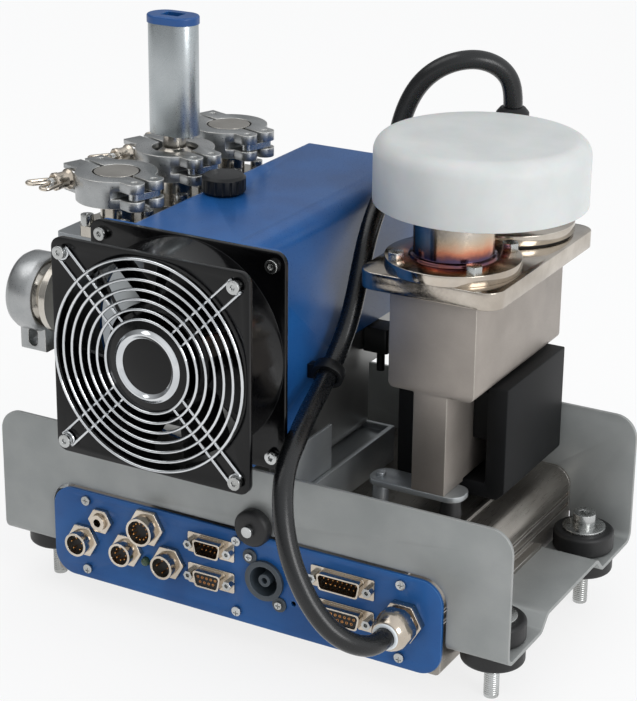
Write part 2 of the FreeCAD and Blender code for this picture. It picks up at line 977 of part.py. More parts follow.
def make_round_sockets():
    face = -panel_thickness
    sockets = []
    for x, z, barrel in round_socket_places:
        neck = barrel - round_socket_step
        tip = face - round_socket_reach
        body = joined([
            rod(barrel, (x, face - socket_nut_thickness, z), (x, tip, z)),
            rod(neck, (x, face - socket_nut_thickness - 1, z), (x, round_socket_tail, z)),
        ])
        hollow = rod(barrel - round_socket_wall, (x, tip - 1, z), (x, tip + round_socket_hollow, z))
        sockets.append(body.cut(hollow))
    x, z = audio_socket_place
    tip = face - audio_socket_reach
    body = rod(audio_socket_radius, (x, tip, z), (x, round_socket_tail, z))
    sockets.append(body.cut(rod(audio_socket_bore, (x, tip - 1, z), (x, round_socket_tail / 2, z))))
    return group(sockets)


def make_socket_nuts():
    face = -panel_thickness
    nuts = []
    for x, z, barrel in round_socket_places:
        flats = 2 * (barrel + socket_nut_extra) * math.cos(math.radians(30)) + socket_nut_corner_loss
        nut = hexagon(flats, (x, face, z), (x, face - socket_nut_thickness, z))
        nuts.append(nut.cut(rod(barrel - round_socket_step + running_gap, (x, face + 1, z),
                                (x, face - socket_nut_thickness - 1, z))))
    x, z = audio_socket_place
    nut = hexagon(2 * audio_socket_radius + audio_nut_extra, (x, face, z),
                  (x, face - socket_nut_thickness, z))
    nuts.append(nut.cut(rod(audio_socket_radius + running_gap, (x, face + 1, z),
                            (x, face - socket_nut_thickness - 1, z))))
    return group(nuts)


def make_socket_inserts():
    """Insulating faces that carry the contacts, at the floor of each round socket."""
    face = -panel_thickness
    inserts = []
    for x, z, barrel in round_socket_places:
        floor = face - round_socket_reach + round_socket_hollow
        radius = barrel - round_socket_wall - running_gap
        inserts.append(rod(radius, (x, floor, z), (x, floor - socket_insert_thickness, z)))
    return group(inserts)


def dsub_outline(x, z, width, height, y0, y1):
    half = width / 2
    tall = height / 2
    points = [
        (x - half + dsub_lean, z - tall), (x + half - dsub_lean, z - tall),
        (x + half, z + tall), (x - half, z + tall)]
    radius = min(dsub_corner, height / 4)
    return extruded(points, [radius] * 4, "front", y0, y1 - y0)


def make_dsub_shells():
    face = -panel_thickness
    shells = []
    for x, z, width, spacing, male in dsub_places:
        flange = rounded_box(
            x - spacing / 2 - dsub_ear, x + spacing / 2 + dsub_ear, face - dsub_flange_thickness, face,
            z - dsub_flange_height / 2, z + dsub_flange_height / 2, dsub_flange_corner, "front")
        sleeve = dsub_outline(x, z, width, dsub_height, face - dsub_reach, dsub_tail)
        hollow = dsub_outline(x, z, width - 2 * dsub_wall, dsub_height - 2 * dsub_wall,
                              face - dsub_reach - 1, dsub_tail - dsub_floor_thickness)
        shells.append(joined([flange, sleeve]).cut(hollow))
    return group(shells)


def make_dsub_inserts():
    face = -panel_thickness
    inserts = []
    for x, z, width, spacing, male in dsub_places:
        front = face + dsub_pin_floor if male else face - dsub_reach + dsub_face_set_back
        inserts.append(dsub_outline(
            x, z, width - 2 * dsub_wall - 2 * running_gap, dsub_height - 2 * dsub_wall - 2 * running_gap,
            front, dsub_tail - dsub_floor_thickness))
    return group(inserts)


def make_jackscrews():
    low = -panel_thickness - dsub_flange_thickness
    screws = []
    for x, z, width, spacing, male in dsub_places:
        for side in (-1, 1):
            column = x + side * spacing / 2
            screw = hexagon(jackscrew_flat, (column, low, z), (column, low - jackscrew_reach, z))
            bore = rod(jackscrew_bore, (column, low - jackscrew_reach / 2, z),
                       (column, low - jackscrew_reach - 1, z))
            screws.append(screw.cut(bore))
    return group(screws)


def make_power_socket():
    face = -panel_thickness
    x, z = power_place
    low = face - power_flange_thickness
    shapes = [
        rod(power_radius, (x, face, z), (x, face - power_reach, z)),
        rod(power_bore + power_barrel_wall, (x, face - 1, z), (x, power_depth, z)),
    ]
    for side in (-1, 1):
        ear = (x + side * power_screw_offset[0], z - side * power_screw_offset[1])
        shapes.append(rod(power_ear_radius, (ear[0], face, ear[1]), (ear[0], low, ear[1])))
    body = joined(shapes)
    hollow = rod(power_bore, (x, face - power_reach - 1, z), (x, power_depth - power_floor_thickness, z))
    hub = pipe(power_hub_radius, power_hub_radius / 2, (x, face - power_reach / 2, z),
               (x, power_depth - 1, z))
    return joined([body.cut(hollow), hub])


def make_status_led():
    face = -panel_thickness
    x, z = led_place
    body = rod(led_radius, (x, 4, z), (x, face - 1, z))
    dome = Part.makeSphere(led_radius, V(x, face - 1, z))
    return joined([body, dome])


def make_gland():
    face = -panel_thickness
    x, z = gland_place
    base_end = face - gland_hex_thickness
    base = hexagon(gland_hex, (x, face, z), (x, base_end, z))
    neck = rod(gland_neck_radius, (x, base_end + 1, z), (x, gland_nut_seat(), z))
    tail = rod(gland_neck_radius - gland_tail_step, (x, face - 1, z), (x, gland_tail_length, z))
    bore = rod(gland_mouth_radius, (x, gland_nut_seat() - 1, z), (x, gland_tail_length + 1, z))
    return joined([base, neck, tail]).cut(bore)


def gland_nut_seat():
    return -panel_thickness - gland_hex_thickness - gland_neck_length


def gland_mouth():
    return gland_nut_seat() - gland_nut_length


def make_gland_nut():
    x, z = gland_place
    length = gland_nut_length
    profile = [
        (gland_mouth_radius, 0), (gland_nut_radius, 0), (gland_nut_radius, gland_nut_flat_part),
        (gland_nut_shoulder[0], gland_nut_flat_part + gland_nut_shoulder[1]),
        (gland_nut_dome[0], length - gland_nut_dome[1]),
        (gland_nut_tip_radius, length), (gland_mouth_radius, length)]
    dome = turned(profile, (x, gland_nut_seat(), z), FRONT)
    flats = hexagon(gland_hex, (x, gland_nut_seat() + 1, z), (x, gland_mouth() - 1, z))
    return dome.common(flats)


def make_bumper():
    x, z = bumper_place
    body = turned([
        (0, 0), (bumper_radius, 0), (bumper_radius, bumper_thickness - bumper_rim_height),
        (bumper_radius - bumper_shoulder[0], bumper_thickness - bumper_shoulder[1]),
        (bumper_radius - bumper_flat_inset, bumper_thickness),
        (0, bumper_thickness)], (x, -panel_thickness, z), FRONT)
    return body.cut(rod(bumper_screw_radius / 2 + screw_gap, (x, 1, z),
                        (x, -panel_thickness - bumper_thickness - 1, z)))


def make_bumper_screw():
    x, z = bumper_place
    face = -panel_thickness - bumper_thickness
    head = rod(bumper_screw_radius, (x, face, z), (x, face - bumper_screw_head, z))
    shank = rod(bumper_screw_radius / 2, (x, face - 1, z), (x, sheet + bumper_screw_tail, z))
    nut = hexagon(2 * bumper_screw_radius, (x, sheet, z), (x, sheet + bumper_nut_thickness, z))
    spacer = pipe(bumper_screw_radius, bumper_screw_radius / 2, (x, 0, z), (x, -panel_thickness, z))
    return joined([head, shank, nut, spacer])


# Pump, its base and its cover

def make_pump_base():
    outer = box(base_left, base_right, base_front, base_back, housing_top, base_rim)
    inner = box(base_left + sheet, base_right - sheet, base_front + sheet, base_back - sheet,
                housing_top - 1, base_rim + 1)
    deck = box(base_left + 1, base_right - 1, base_front + 1, base_back - 1,
               base_deck - sheet, base_deck)
    lip_outer = box(base_left, base_right, base_front, base_back, base_rim - sheet, base_rim)
    lip_inner = box(base_left + base_lip, base_right - base_lip, base_front + base_lip,
                    base_back - base_lip, base_rim - sheet - 1, base_rim + 1)
    return joined([outer.cut(inner), deck, lip_outer.cut(lip_inner)])


def make_side_plate():
    """Upright plate that stands on the pump base beside the pump, under the cable."""
    face = base_right - base_lip - seat_gap
    line = [
        (face - side_plate_foot, base_deck),
        (face, base_deck),
        (face, base_deck + side_plate_height),
    ]
    return folded_sheet(line, sheet, side_plate_bend, "front", base_front + base_lip + seat_gap,
                        side_plate_back - base_front - base_lip - seat_gap)


def make_pump_body():
    body = rounded_box(pump_left, pump_right, pump_front, pump_back, base_deck, pump_top,
                       pump_corner, "front")
    wall_height = pump_z - pump_bore_radius - pump_bore_wall
    rear_overhang = box(pump_left - 1, pump_right + 1, base_back - base_lip - seat_gap, pump_back + 1,
                        base_deck - 1, wall_height)
    front_overhang = box(pump_left - 1, pump_right + 1, pump_front - 1, base_front + base_lip + seat_gap,
                         base_deck - 1, wall_height)
    bore = rod(pump_bore_radius, (pump_x, pump_front - 1, pump_z),
               (pump_x, pump_back - pump_bore_end, pump_z))
    seat = rod(bearing_radius, (pump_x, pump_back - pump_bore_end - 1, pump_z),
               (pump_x, pump_back - pump_bore_end + bearing_width, pump_z))
    stem_hole = rod(cap_stem_radius + running_gap, (vent_x(), cap_depth_place, pump_top + 1),
                    (vent_x(), cap_depth_place, pump_top - cap_stem_depth))
    body = body.cut(together([rear_overhang, front_overhang, bore, seat, stem_hole]))
    pads = []
    x = pump_x + pump_pad_offset
    for y in (pump_front + pump_pad_inset, pump_back - pump_pad_inset):
        pads.append(rod(pump_pad_radius, (x, y, pump_top - 1), (x, y, cover_top - sheet)))
    return joined([body] + pads)


def vent_x():
    return cover_left + cap_from_left


def make_pump_lid():
    """Front plate of the pump, with the seat of the front bearing."""
    lid = rounded_box(pump_left, pump_right, pump_front - pump_lid_thickness, pump_front,
                      pump_z - pump_bore_radius - pump_bore_wall, pump_z + pump_bore_radius + pump_bore_wall,
                      pump_corner, "front")
    start = front_bearing_start()
    collar = rod(bearing_radius + bearing_seat_wall, (pump_x, pump_front - 1, pump_z),
                 (pump_x, start + bearing_width, pump_z))
    seat = rod(bearing_radius, (pump_x, start, pump_z), (pump_x, start + bearing_width + 1, pump_z))
    return joined([lid, collar]).cut(seat)


def front_bearing_start():
    return pump_front + bearing_set_back


def rear_bearing_start():
    return pump_back - pump_bore_end


def make_pump_bearings():
    rings = []
    for start in (front_bearing_start(), rear_bearing_start()):
        rings.append(pipe(bearing_radius, rotor_shaft_radius + running_gap,
                          (pump_x, start, pump_z), (pump_x, start + bearing_width, pump_z)))
    return group(rings)


def make_pump_rotor():
    start = front_bearing_start() + seat_gap
    end = rear_bearing_start() + bearing_width - seat_gap
    shaft = rod(rotor_shaft_radius, (pump_x, start, pump_z), (pump_x, end, pump_z))
    hub_start = front_bearing_start() + bearing_width + rotor_hub_gap
    hub_end = rear_bearing_start() - rotor_hub_gap
    hub = rod(rotor_hub_radius, (pump_x, hub_start, pump_z), (pump_x, hub_end, pump_z))
    discs = []
    pitch = (hub_end - hub_start - rotor_disc_thickness) / rotor_disc_count
    for number in range(rotor_disc_count):
        y = hub_start + pitch * (number + 0.5)
        discs.append(rod(rotor_disc_radius, (pump_x, y, pump_z), (pump_x, y + rotor_disc_thickness, pump_z)))
    return joined([shaft, hub] + discs)


def make_cover():
    line = [
        (cover_left, block_top + cover_lip_gap),
        (cover_left, cover_top),
        (cover_right, cover_top),
        (cover_right, base_deck + cover_low_edge),
    ]
    mirrored = [(x, z) for x, z in reversed(line)]
    bends = [0, cover_fold - sheet, cover_left_bend, 0]
    shell = folded_sheet(mirrored, sheet, bends, "front", cover_front, cover_back - cover_front)
    low = base_deck + cover_low_edge
    high = base_deck + cover_high_edge
    side_cut = extruded(
        [(cover_low_back, low - 1), (cover_back + 1, low - 1), (cover_back + 1, high),
         (cover_high_front, high), (cover_low_back, low)],
        [0] * 5, "side", cover_right - 2 * sheet, 3 * sheet)
    half = fan_hole_spacing / 2 + fan_ear
    front = rounded_box(fan_x - half, fan_x + half, cover_front, cover_front + sheet,
                        fan_z - half, cover_top, fan_corner, "front")
    cuts = [rod(fan_duct_radius, (fan_x, cover_front - 1, fan_z), (fan_x, cover_front + sheet + 1, fan_z))]
    for x, z in fan_hole_places():
        cuts.append(rod(fan_hole_radius, (x, cover_front - 1, z), (x, cover_front + sheet + 1, z)))
    cuts.append(rod(cap_stem_radius + cap_stem_gap, (vent_x(), cap_depth_place, cover_top - 2 * sheet),
                    (vent_x(), cap_depth_place, cover_top + 1)))
    return joined([shell.cut(side_cut), front]).cut(together(cuts))


def make_vent_cap():
    x, y = vent_x(), cap_depth_place
    low = cover_top + seat_gap
    top = low + cap_height
    body = turned([
        (0, low), (cap_radius - cap_foot_bevel, low), (cap_radius, low + cap_bevel),
        (cap_radius, top - cap_bevel), (cap_radius - cap_bevel, top), (0, top)], (x, y, 0), UP)
    grooves = []
    for number in range(cap_rib_count):
        angle = 2 * math.pi * number / cap_rib_count
        reach = cap_radius + cap_groove_depth
        place = (x + reach * math.cos(angle), y + reach * math.sin(angle))
        grooves.append(Part.makeBox(2 * cap_rib, 2 * cap_rib, cap_height - cap_groove_margin,
                                    V(place[0] - cap_rib, place[1] - cap_rib, low + 1)))
    stem = rod(cap_stem_radius, (x, y, pump_top - cap_stem_depth + 1), (x, y, low + 1))
    return joined([body.cut(together(grooves)), stem])


# Cooling fan

def fan_hole_places():
    half = fan_hole_spacing / 2
    for across_sign in (-1, 1):
        for up_sign in (-1, 1):
            yield fan_x + across_sign * half, fan_z + up_sign * half


def make_fan_frame():
    half = fan_size / 2
    shapes = []
    for start in (fan_front, fan_back - fan_flange):
        shapes.append(rounded_box(fan_x - half, fan_x + half, start, start + fan_flange,
                                  fan_z - half, fan_z + half, fan_corner, "front"))
    shapes.append(rod(fan_duct_radius + fan_duct_wall, (fan_x, fan_front, fan_z), (fan_x, fan_back, fan_z)))
    frame = joined(shapes)
    cuts = [rod(fan_duct_radius, (fan_x, fan_front - 1, fan_z), (fan_x, fan_back + 1, fan_z))]
    for x, z in fan_hole_places():
        cuts.append(rod(fan_hole_radius, (x, fan_front - 1, z), (x, fan_back + 1, z)))
    frame = frame.cut(together(cuts))
    start = fan_back - fan_mount_thickness
    struts = [rod(fan_mount_radius, (fan_x, start, fan_z), (fan_x, fan_back, fan_z))]
    for number in range(4):
        strut = box(fan_x, fan_x + fan_duct_radius + 0.5, start, fan_back,
                    fan_z - fan_strut_width / 2, fan_z + fan_strut_width / 2)
        strut.rotate(V(fan_x, 0, fan_z), BACK, 45 + 90 * number)
        struts.append(strut)
    socket = rod(fan_shaft_radius + running_gap, (fan_x, start - 1, fan_z), (fan_x, fan_back - 1, fan_z))
    return joined([frame] + struts).cut(socket)


def blade_section(radius, turn):
    """A thin rectangle at one radius of the blade, pitched and turned about the fan's axis."""
    pitch = math.radians(fan_blade_pitch + (fan_blade_radius - radius) * fan_blade_twist)
    share = fan_blade_root_share + (1 - fan_blade_root_share) * radius / fan_blade_radius
    half_chord = fan_blade_chord / 2 * share
    half_thick = fan_blade_thickness / 2
    middle = hub_front() + fan_hub_length / 2
    corners = []
    for along, across in ((-1, -1), (1, -1), (1, 1), (-1, 1)):
        around = along * half_chord * math.cos(pitch) - across * half_thick * math.sin(pitch)
        back = along * half_chord * math.sin(pitch) + across * half_thick * math.cos(pitch)
        corner = V(radius, 0, around)
        corner = FreeCAD.Rotation(BACK, turn).multVec(corner)
        corners.append(V(fan_x + corner.x, middle + back, fan_z + corner.z))
    return Part.makePolygon(corners + corners[:1])


def hub_front():
    return fan_back - fan_mount_thickness - fan_hub_back_gap - fan_hub_length


def make_fan_rotor():
    start = hub_front()
    end = start + fan_hub_length
    hub = turned([
        (0, 0), (fan_hub_radius - fan_hub_bevel, 0), (fan_hub_radius, fan_hub_bevel),
        (fan_hub_radius, fan_hub_length),
        (0, fan_hub_length)], (fan_x, start, fan_z), BACK)
    shaft = rod(fan_shaft_radius, (fan_x, end - 1, fan_z), (fan_x, end + fan_shaft_length, fan_z))
    limit = rod(fan_blade_radius, (fan_x, start + fan_blade_margin, fan_z),
                (fan_x, end - fan_blade_margin, fan_z))
    blades = []
    for number in range(fan_blade_count):
        turn = 360 * number / fan_blade_count
        root = blade_section(fan_hub_radius - fan_hub_bevel, turn)
        tip = blade_section(fan_blade_radius + fan_hub_bevel, turn + fan_blade_sweep)
        blades.append(Part.makeLoft([root, tip], True, True).common(limit))
    return joined([hub, shaft] + blades)


def make_fan_guard():
    back = fan_front
    middle = back - guard_wire
    front = middle - guard_wire
    half = guard_wire / 2
    shapes = []
    for number in range(guard_ring_count):
        radius = guard_outer_radius - guard_ring_step * number
        if radius < guard_disc_radius + half:
            continue
        shapes.append(pipe(radius + half, radius - half, (fan_x, front, fan_z),
                           (fan_x, middle + guard_weld_depth, fan_z)))
    shapes.append(rod(guard_disc_radius, (fan_x, front, fan_z), (fan_x, middle, fan_z)))
    emboss_half = guard_emboss_width / 2
    shapes.append(pipe(guard_emboss_radius + emboss_half, guard_emboss_radius - emboss_half,
                       (fan_x, front - guard_emboss_rise, fan_z), (fan_x, front + half, fan_z)))
    corner = fan_hole_spacing / 2 * math.sqrt(2)
    for number in range(4):
        spokes = []
        for side in (-1, 1):
            offset = side * guard_spoke_half_gap
            spokes.append(box(fan_x + guard_disc_radius - 2, fan_x + corner, middle, back,
                              fan_z + offset - half, fan_z + offset + half))
        loop = pipe(guard_loop_radius + half, guard_loop_radius - half - guard_loop_extra,
                    (fan_x + corner, middle, fan_z), (fan_x + corner, back, fan_z))
        spokes.append(loop)
        spoke = joined(spokes)
        spoke.rotate(V(fan_x, 0, fan_z), BACK, 45 + 90 * number)
        shapes.append(spoke)
    return joined(shapes)


def make_fan_screws():
    screws = []
    front_seat = fan_front - guard_wire
    back_seat = fan_back - fan_flange
    for x, z in fan_hole_places():
        for seat, end in ((front_seat, fan_front + fan_flange), (back_seat, fan_back + sheet)):
            head = rod(fan_screw_head_radius, (x, seat - fan_screw_head_height, z), (x, seat, z))
            recess = hexagon(fan_screw_recess, (x, seat - fan_screw_head_height - 1, z),
                             (x, seat - fan_screw_recess_floor, z))
            pieces = [head.cut(recess), rod(fan_screw_radius, (x, seat - 1, z), (x, end, z))]
            if seat == front_seat:
                pieces.append(hexagon(fan_nut_flat, (x, end, z), (x, end + fan_nut_thickness, z)))
            screws.append(joined(pieces))
    return group(screws)


# Vacuum block, ports and clamps

def make_vacuum_block():
    block = rounded_box(block_left, pump_left, block_front, block_back, block_bottom, block_top,
                        block_corner, "top")
    floor = block_bottom + block_bore_floor
    bores = [rod(port_tube_bore, (port_x, y, block_top + 1), (port_x, y, floor)) for y in port_ys]
    side_bore = rod(port_tube_bore, (block_left - 1, side_port_depth, side_port_z),
                    (port_x, side_port_depth, side_port_z))
    return block.cut(together(bores + [side_bore]))


def make_ports():
    """Round bosses with tubes that end in a conical flange, cut off level with the block's faces."""
    ports = []
    block_area = joined([
        box(block_left, pump_left, block_front, block_back, block_top - 1, boss_top + 1),
        box(block_left - port_boss_radius, pump_left + port_boss_radius, block_front - port_boss_radius,
            block_back + port_boss_radius, boss_top, kf_joint + 1)])
    for y in port_ys:
        low = kf_joint - kf_edge
        profile = [
            (port_tube_bore, block_top), (port_boss_radius, block_top), (port_boss_radius, boss_top),
            (port_tube_radius, boss_top), (port_tube_radius, low - kf_taper),
            (kf_radius, low + kf_taper / 2), (kf_radius, kf_joint), (port_tube_bore, kf_joint)]
        port = turned(profile, (port_x, y, 0), UP)
        holes = [rod(port_screw_hole_radius, (x, z, boss_top - port_boss_height - 1), (x, z, boss_top + 1))
                 for x, z in port_screw_places(y)]
        ports.append(port.cut(together(holes)).common(block_area))
    return group(ports)


def port_screw_places(y):
    for number in range(4):
        angle = math.radians(45 + 90 * number)
        yield port_x + port_screw_circle * math.cos(angle), y + port_screw_circle * math.sin(angle)


def make_port_screws():
    screws = []
    for y in port_ys:
        for x, place in port_screw_places(y):
            top = boss_top + port_screw_height
            head = rod(port_screw_radius, (x, place, boss_top), (x, place, top))
            socket = hexagon(port_screw_hex, (x, place, top - port_screw_hex_depth), (x, place, top + 1))
            shank = rod(port_screw_shank_radius, (x, place, block_top), (x, place, boss_top + 1))
            screws.append(joined([head, shank]).cut(socket))
    return group(screws)


def flange_half(y, top_radius, top):
    """Upper flange of a joint, with a hub that rises to the given height."""
    high = kf_joint + kf_edge
    return turned([
        (0, kf_joint), (kf_radius, kf_joint), (kf_radius, high - kf_taper / 2),
        (top_radius, high + kf_taper), (top_radius, top), (0, top)], (port_x, y, 0), UP)


def make_blank_discs():
    return group([flange_half(y, blank_hub_radius, clamp_top) for y in (port_ys[0], port_ys[-1])])


def clamp_half(front):
    """One jaw, drawn about the origin with the split along x."""
    sign = -1 if front else 1
    gap = clamp_jaw_gap / 2
    ring = rod(clamp_radius, (0, 0, clamp_bottom), (0, 0, clamp_top))
    link_y = sign * clamp_link_half
    bolt_y = sign * clamp_bolt_half
    link_lug = rod(clamp_link_radius, (clamp_link_reach, link_y, clamp_bottom),
                   (clamp_link_reach, link_y, clamp_top))
    link_edge = link_y + sign * clamp_link_radius
    link_web = box(clamp_link_reach - clamp_link_web, clamp_link_reach, min(link_edge, sign * gap),
                   max(link_edge, sign * gap), clamp_bottom, clamp_top)
    bolt_edge = bolt_y + sign * clamp_bolt_wall
    bolt_lug = box(-clamp_bolt_reach - clamp_bolt_lug_tip, -clamp_bolt_reach + clamp_bolt_lug_root,
                   min(sign * gap, bolt_edge), max(sign * gap, bolt_edge), clamp_bottom, clamp_top)
    jaw = joined([ring, link_lug, link_web, bolt_lug])
    edge = clamp_radius + clamp_bolt_reach
    keep = box(-edge, edge, gap if sign > 0 else -edge, edge if sign > 0 else -gap,
               clamp_bottom - 1, clamp_top + 1)
    jaw = jaw.common(keep)
    groove = turned([
        (0, kf_joint - kf_edge - kf_taper - clamp_groove_gap * 2),
        (port_tube_radius, kf_joint - kf_edge - kf_taper - clamp_groove_gap * 2),
        (kf_radius + clamp_groove_gap, kf_joint - kf_edge + kf_taper / 2 - clamp_groove_gap * 2),
        (kf_radius + clamp_groove_gap, kf_joint + kf_edge - kf_taper / 2 + clamp_groove_gap * 2),
        (clamp_top_bore, kf_joint + kf_edge + kf_taper),
        (clamp_top_bore, clamp_top + 1), (0, clamp_top + 1)], (0, 0, 0), UP)
    throat = rod(clamp_top_bore, (0, 0, clamp_bottom - 1), (0, 0, kf_joint))
    slot_low = (clamp_bottom + clamp_top - clamp_slot_height) / 2
    slot_high = slot_low + clamp_slot_height
    link_slot = box(clamp_link_reach - clamp_link_slot_depth, edge, -clamp_radius, clamp_radius,
                    slot_low, slot_high)
    reach = swing_eye_radius + clamp_eye_gap
    bolt_slot = box(-edge, -clamp_bolt_reach + reach, -edge, edge, kf_joint - reach, kf_joint + reach)
    pin_holes = [
        rod(clamp_pin_radius, (clamp_link_reach, link_y, clamp_bottom - 1),
            (clamp_link_reach, link_y, clamp_top + 1))]
    if not front:
        pin_holes.append(rod(clamp_pin_radius, (-clamp_bolt_reach, bolt_y, clamp_bottom - 1),
                             (-clamp_bolt_reach, bolt_y, clamp_top + 1)))
    return jaw.cut(together([groove, throat])).cut(together([link_slot, bolt_slot] + pin_holes))


def at_port(shape, y):
    copy = shape.copy()
    copy.rotate(V(0, 0, 0), UP, clamp_turn)
    copy.translate(V(port_x, y, 0))
    return copy


def make_clamp_jaws():
    halves = [clamp_half(True), clamp_half(False)]
    return group([at_port(half, y) for y in port_ys for half in halves])


def make_clamp_links():
    half = clamp_link_half
    low = kf_joint - link_thickness / 2
    x = clamp_link_reach
    outline = joined([
        rod(link_width / 2, (x, -half, low), (x, -half, low + link_thickness)),
        rod(link_width / 2, (x, half, low), (x, half, low + link_thickness)),
        box(x - link_width / 2, x + link_width / 2, -half, half, low, low + link_thickness)])
    holes = [rod(clamp_pin_radius + running_gap, (x, side * half, low - 1), (x, side * half, clamp_top))
             for side in (-1, 1)]
    link = outline.cut(together(holes))
    return group([at_port(link, y) for y in port_ys])


def make_clamp_pins():
    pins = []
    low = clamp_bottom + clamp_pin_low_inset
    high = clamp_top - clamp_pin_high_inset
    for y in port_ys:
        for x, place in ((clamp_link_reach, -clamp_link_half), (clamp_link_reach, clamp_link_half),
                         (-clamp_bolt_reach, clamp_bolt_half)):
            pins.append(at_port(rod(clamp_pin_radius, (x, place, low), (x, place, high)), y))
    return group(pins)


def swing_bolt_end():
    return -clamp_bolt_half - clamp_bolt_wall - wing_barrel_length - swing_bolt_tail


def make_swing_bolts():
    x = -clamp_bolt_reach
    eye = rod(swing_eye_radius, (x, clamp_bolt_half, kf_joint - swing_eye_half),
              (x, clamp_bolt_half, kf_joint + swing_eye_half))
    stem = rod(swing_bolt_radius, (x, clamp_bolt_half - 2, kf_joint), (x, swing_bolt_end(), kf_joint))
    hole = rod(clamp_pin_radius + running_gap, (x, clamp_bolt_half, clamp_bottom),
               (x, clamp_bolt_half, clamp_top))
    bolt = joined([eye, stem]).cut(hole)
    return group([at_port(bolt, y) for y in port_ys])


def make_wing_nut(y):
    x = -clamp_bolt_reach
    seat = -clamp_bolt_half - clamp_bolt_wall - seat_gap
    end = seat - wing_barrel_length
    flare = wing_barrel_radius + wing_flare
    body = turned([
        (swing_bolt_radius + running_gap, 0), (flare, 0), (flare, wing_flare_height),
        (wing_barrel_radius, wing_flare_end), (wing_barrel_radius * wing_tip_share, wing_barrel_length),
        (swing_bolt_radius + running_gap, wing_barrel_length)], (x, seat, kf_joint), FRONT)
    half = wing_thickness / 2
    wings = []
    for side in (-1, 1):
        points = [
            (side * (wing_barrel_radius - 1), seat - wing_barrel_length * 0.45),
            (side * (wing_barrel_radius - 1), end),
            (side * wing_span * 0.75, end - wing_height * 0.7),
            (side * (wing_span + wing_overhang), end - wing_height * 0.55),
            (side * (wing_span + wing_overhang), end + wing_overhang),
            (side * wing_span * 0.7, seat - wing_barrel_length * 0.5)]
        wing = extruded(points, [0, 0, 2.5, 3.0, 3.5, 3.0], "top", kf_joint - half, wing_thickness)
        wing.translate(V(x, 0, 0))
        wings.append(wing)
    nut = joined([body] + wings)
    nut.rotate(V(x, 0, kf_joint), BACK, wing_turn)
    return at_port(nut, y)


# Gauge

def gauge_stem_height():
    return clamp_top + gauge_stem_top


def stadium(length, width, y, low, high):
    reach = (length - width) / 2
    outline = [
        (port_x - length / 2, y - width / 2), (port_x + length / 2, y - width / 2),
        (port_x + length / 2, y + width / 2), (port_x - length / 2, y + width / 2)]
    radius = width / 2 - 0.01
    return extruded(outline, [radius] * 4, "top", low, high - low) if reach > 0 else rod(
        width / 2, (port_x, y, low), (port_x, y, high))


def make_gauge_stem():
    y = port_ys[1]
    high = kf_joint + kf_edge
    top = gauge_stem_height()
    return turned([
        (0, kf_joint), (kf_radius, kf_joint), (kf_radius, high - kf_taper / 2),
        (blank_hub_radius - gauge_hub_step, high + kf_taper),
        (gauge_stem_radius + gauge_hub_step, clamp_top - gauge_hub_step),
        (gauge_stem_radius, clamp_top), (gauge_stem_radius, top), (0, top)], (port_x, y, 0), UP)


def make_gauge_body():
    y = port_ys[1]
    low = gauge_stem_height()
    body = stadium(gauge_length, gauge_thickness, y, low, low + gauge_height)
    socket = box(port_x - gauge_socket_length / 2, port_x + gauge_socket_length / 2,
                 y - gauge_socket_width / 2, y + gauge_socket_width / 2,
                 low + gauge_height + gauge_cap_height - gauge_socket_depth, low + gauge_height + 1)
    return body.cut(socket)


def make_gauge_cap():
    y = port_ys[1]
    low = gauge_stem_height() + gauge_height
    cap = stadium(gauge_length + 2 * gauge_cap_overhang, gauge_thickness + 2 * gauge_cap_overhang,
                  y, low, low + gauge_cap_height)
    top_edges = [edge for edge in cap.Edges
                 if abs(edge.BoundBox.ZMin - low - gauge_cap_height) < 0.01
                 and edge.BoundBox.ZLength < 0.01]
    cap = cap.makeFillet(gauge_cap_edge, top_edges)
    hole = box(port_x - gauge_socket_length / 2, port_x + gauge_socket_length / 2,
               y - gauge_socket_width / 2, y + gauge_socket_width / 2, low - 1,
               low + gauge_cap_height + 1)
    return cap.cut(hole)


def make_gauge_screws():
    y = port_ys[1]
    z = gauge_stem_height()
    reach = gauge_length / 2 - gauge_screw_inset
    screws = []
    for side in (-1, 1):
        x = port_x + side * reach
        screws.append(rod(gauge_screw_radius, (x, y, z), (x, y, z - gauge_screw_reach)))
    return group(screws)


# Side port and its strap clamp

def make_side_port():
    y, z = side_port_depth, side_port_z
    reach = side_port_reach
    end = reach + side_port_flange_end
    flange = side_port_radius + side_port_flange_extra
    profile = [
        (port_tube_bore, 0), (side_port_ring_radius, 0), (side_port_ring_radius, side_port_ring_width),
        (side_port_radius, side_port_ring_width + side_port_cone), (side_port_radius, reach),
        (flange, reach + side_port_flange_cone), (flange, end), (0, end),
        (0, end - side_port_blank), (port_tube_bore, end - side_port_blank)]
    return turned(profile, (block_left, y, z), V(-1, 0, 0))


def side_clamp_start():
    return block_left - side_port_reach - side_clamp_set_back


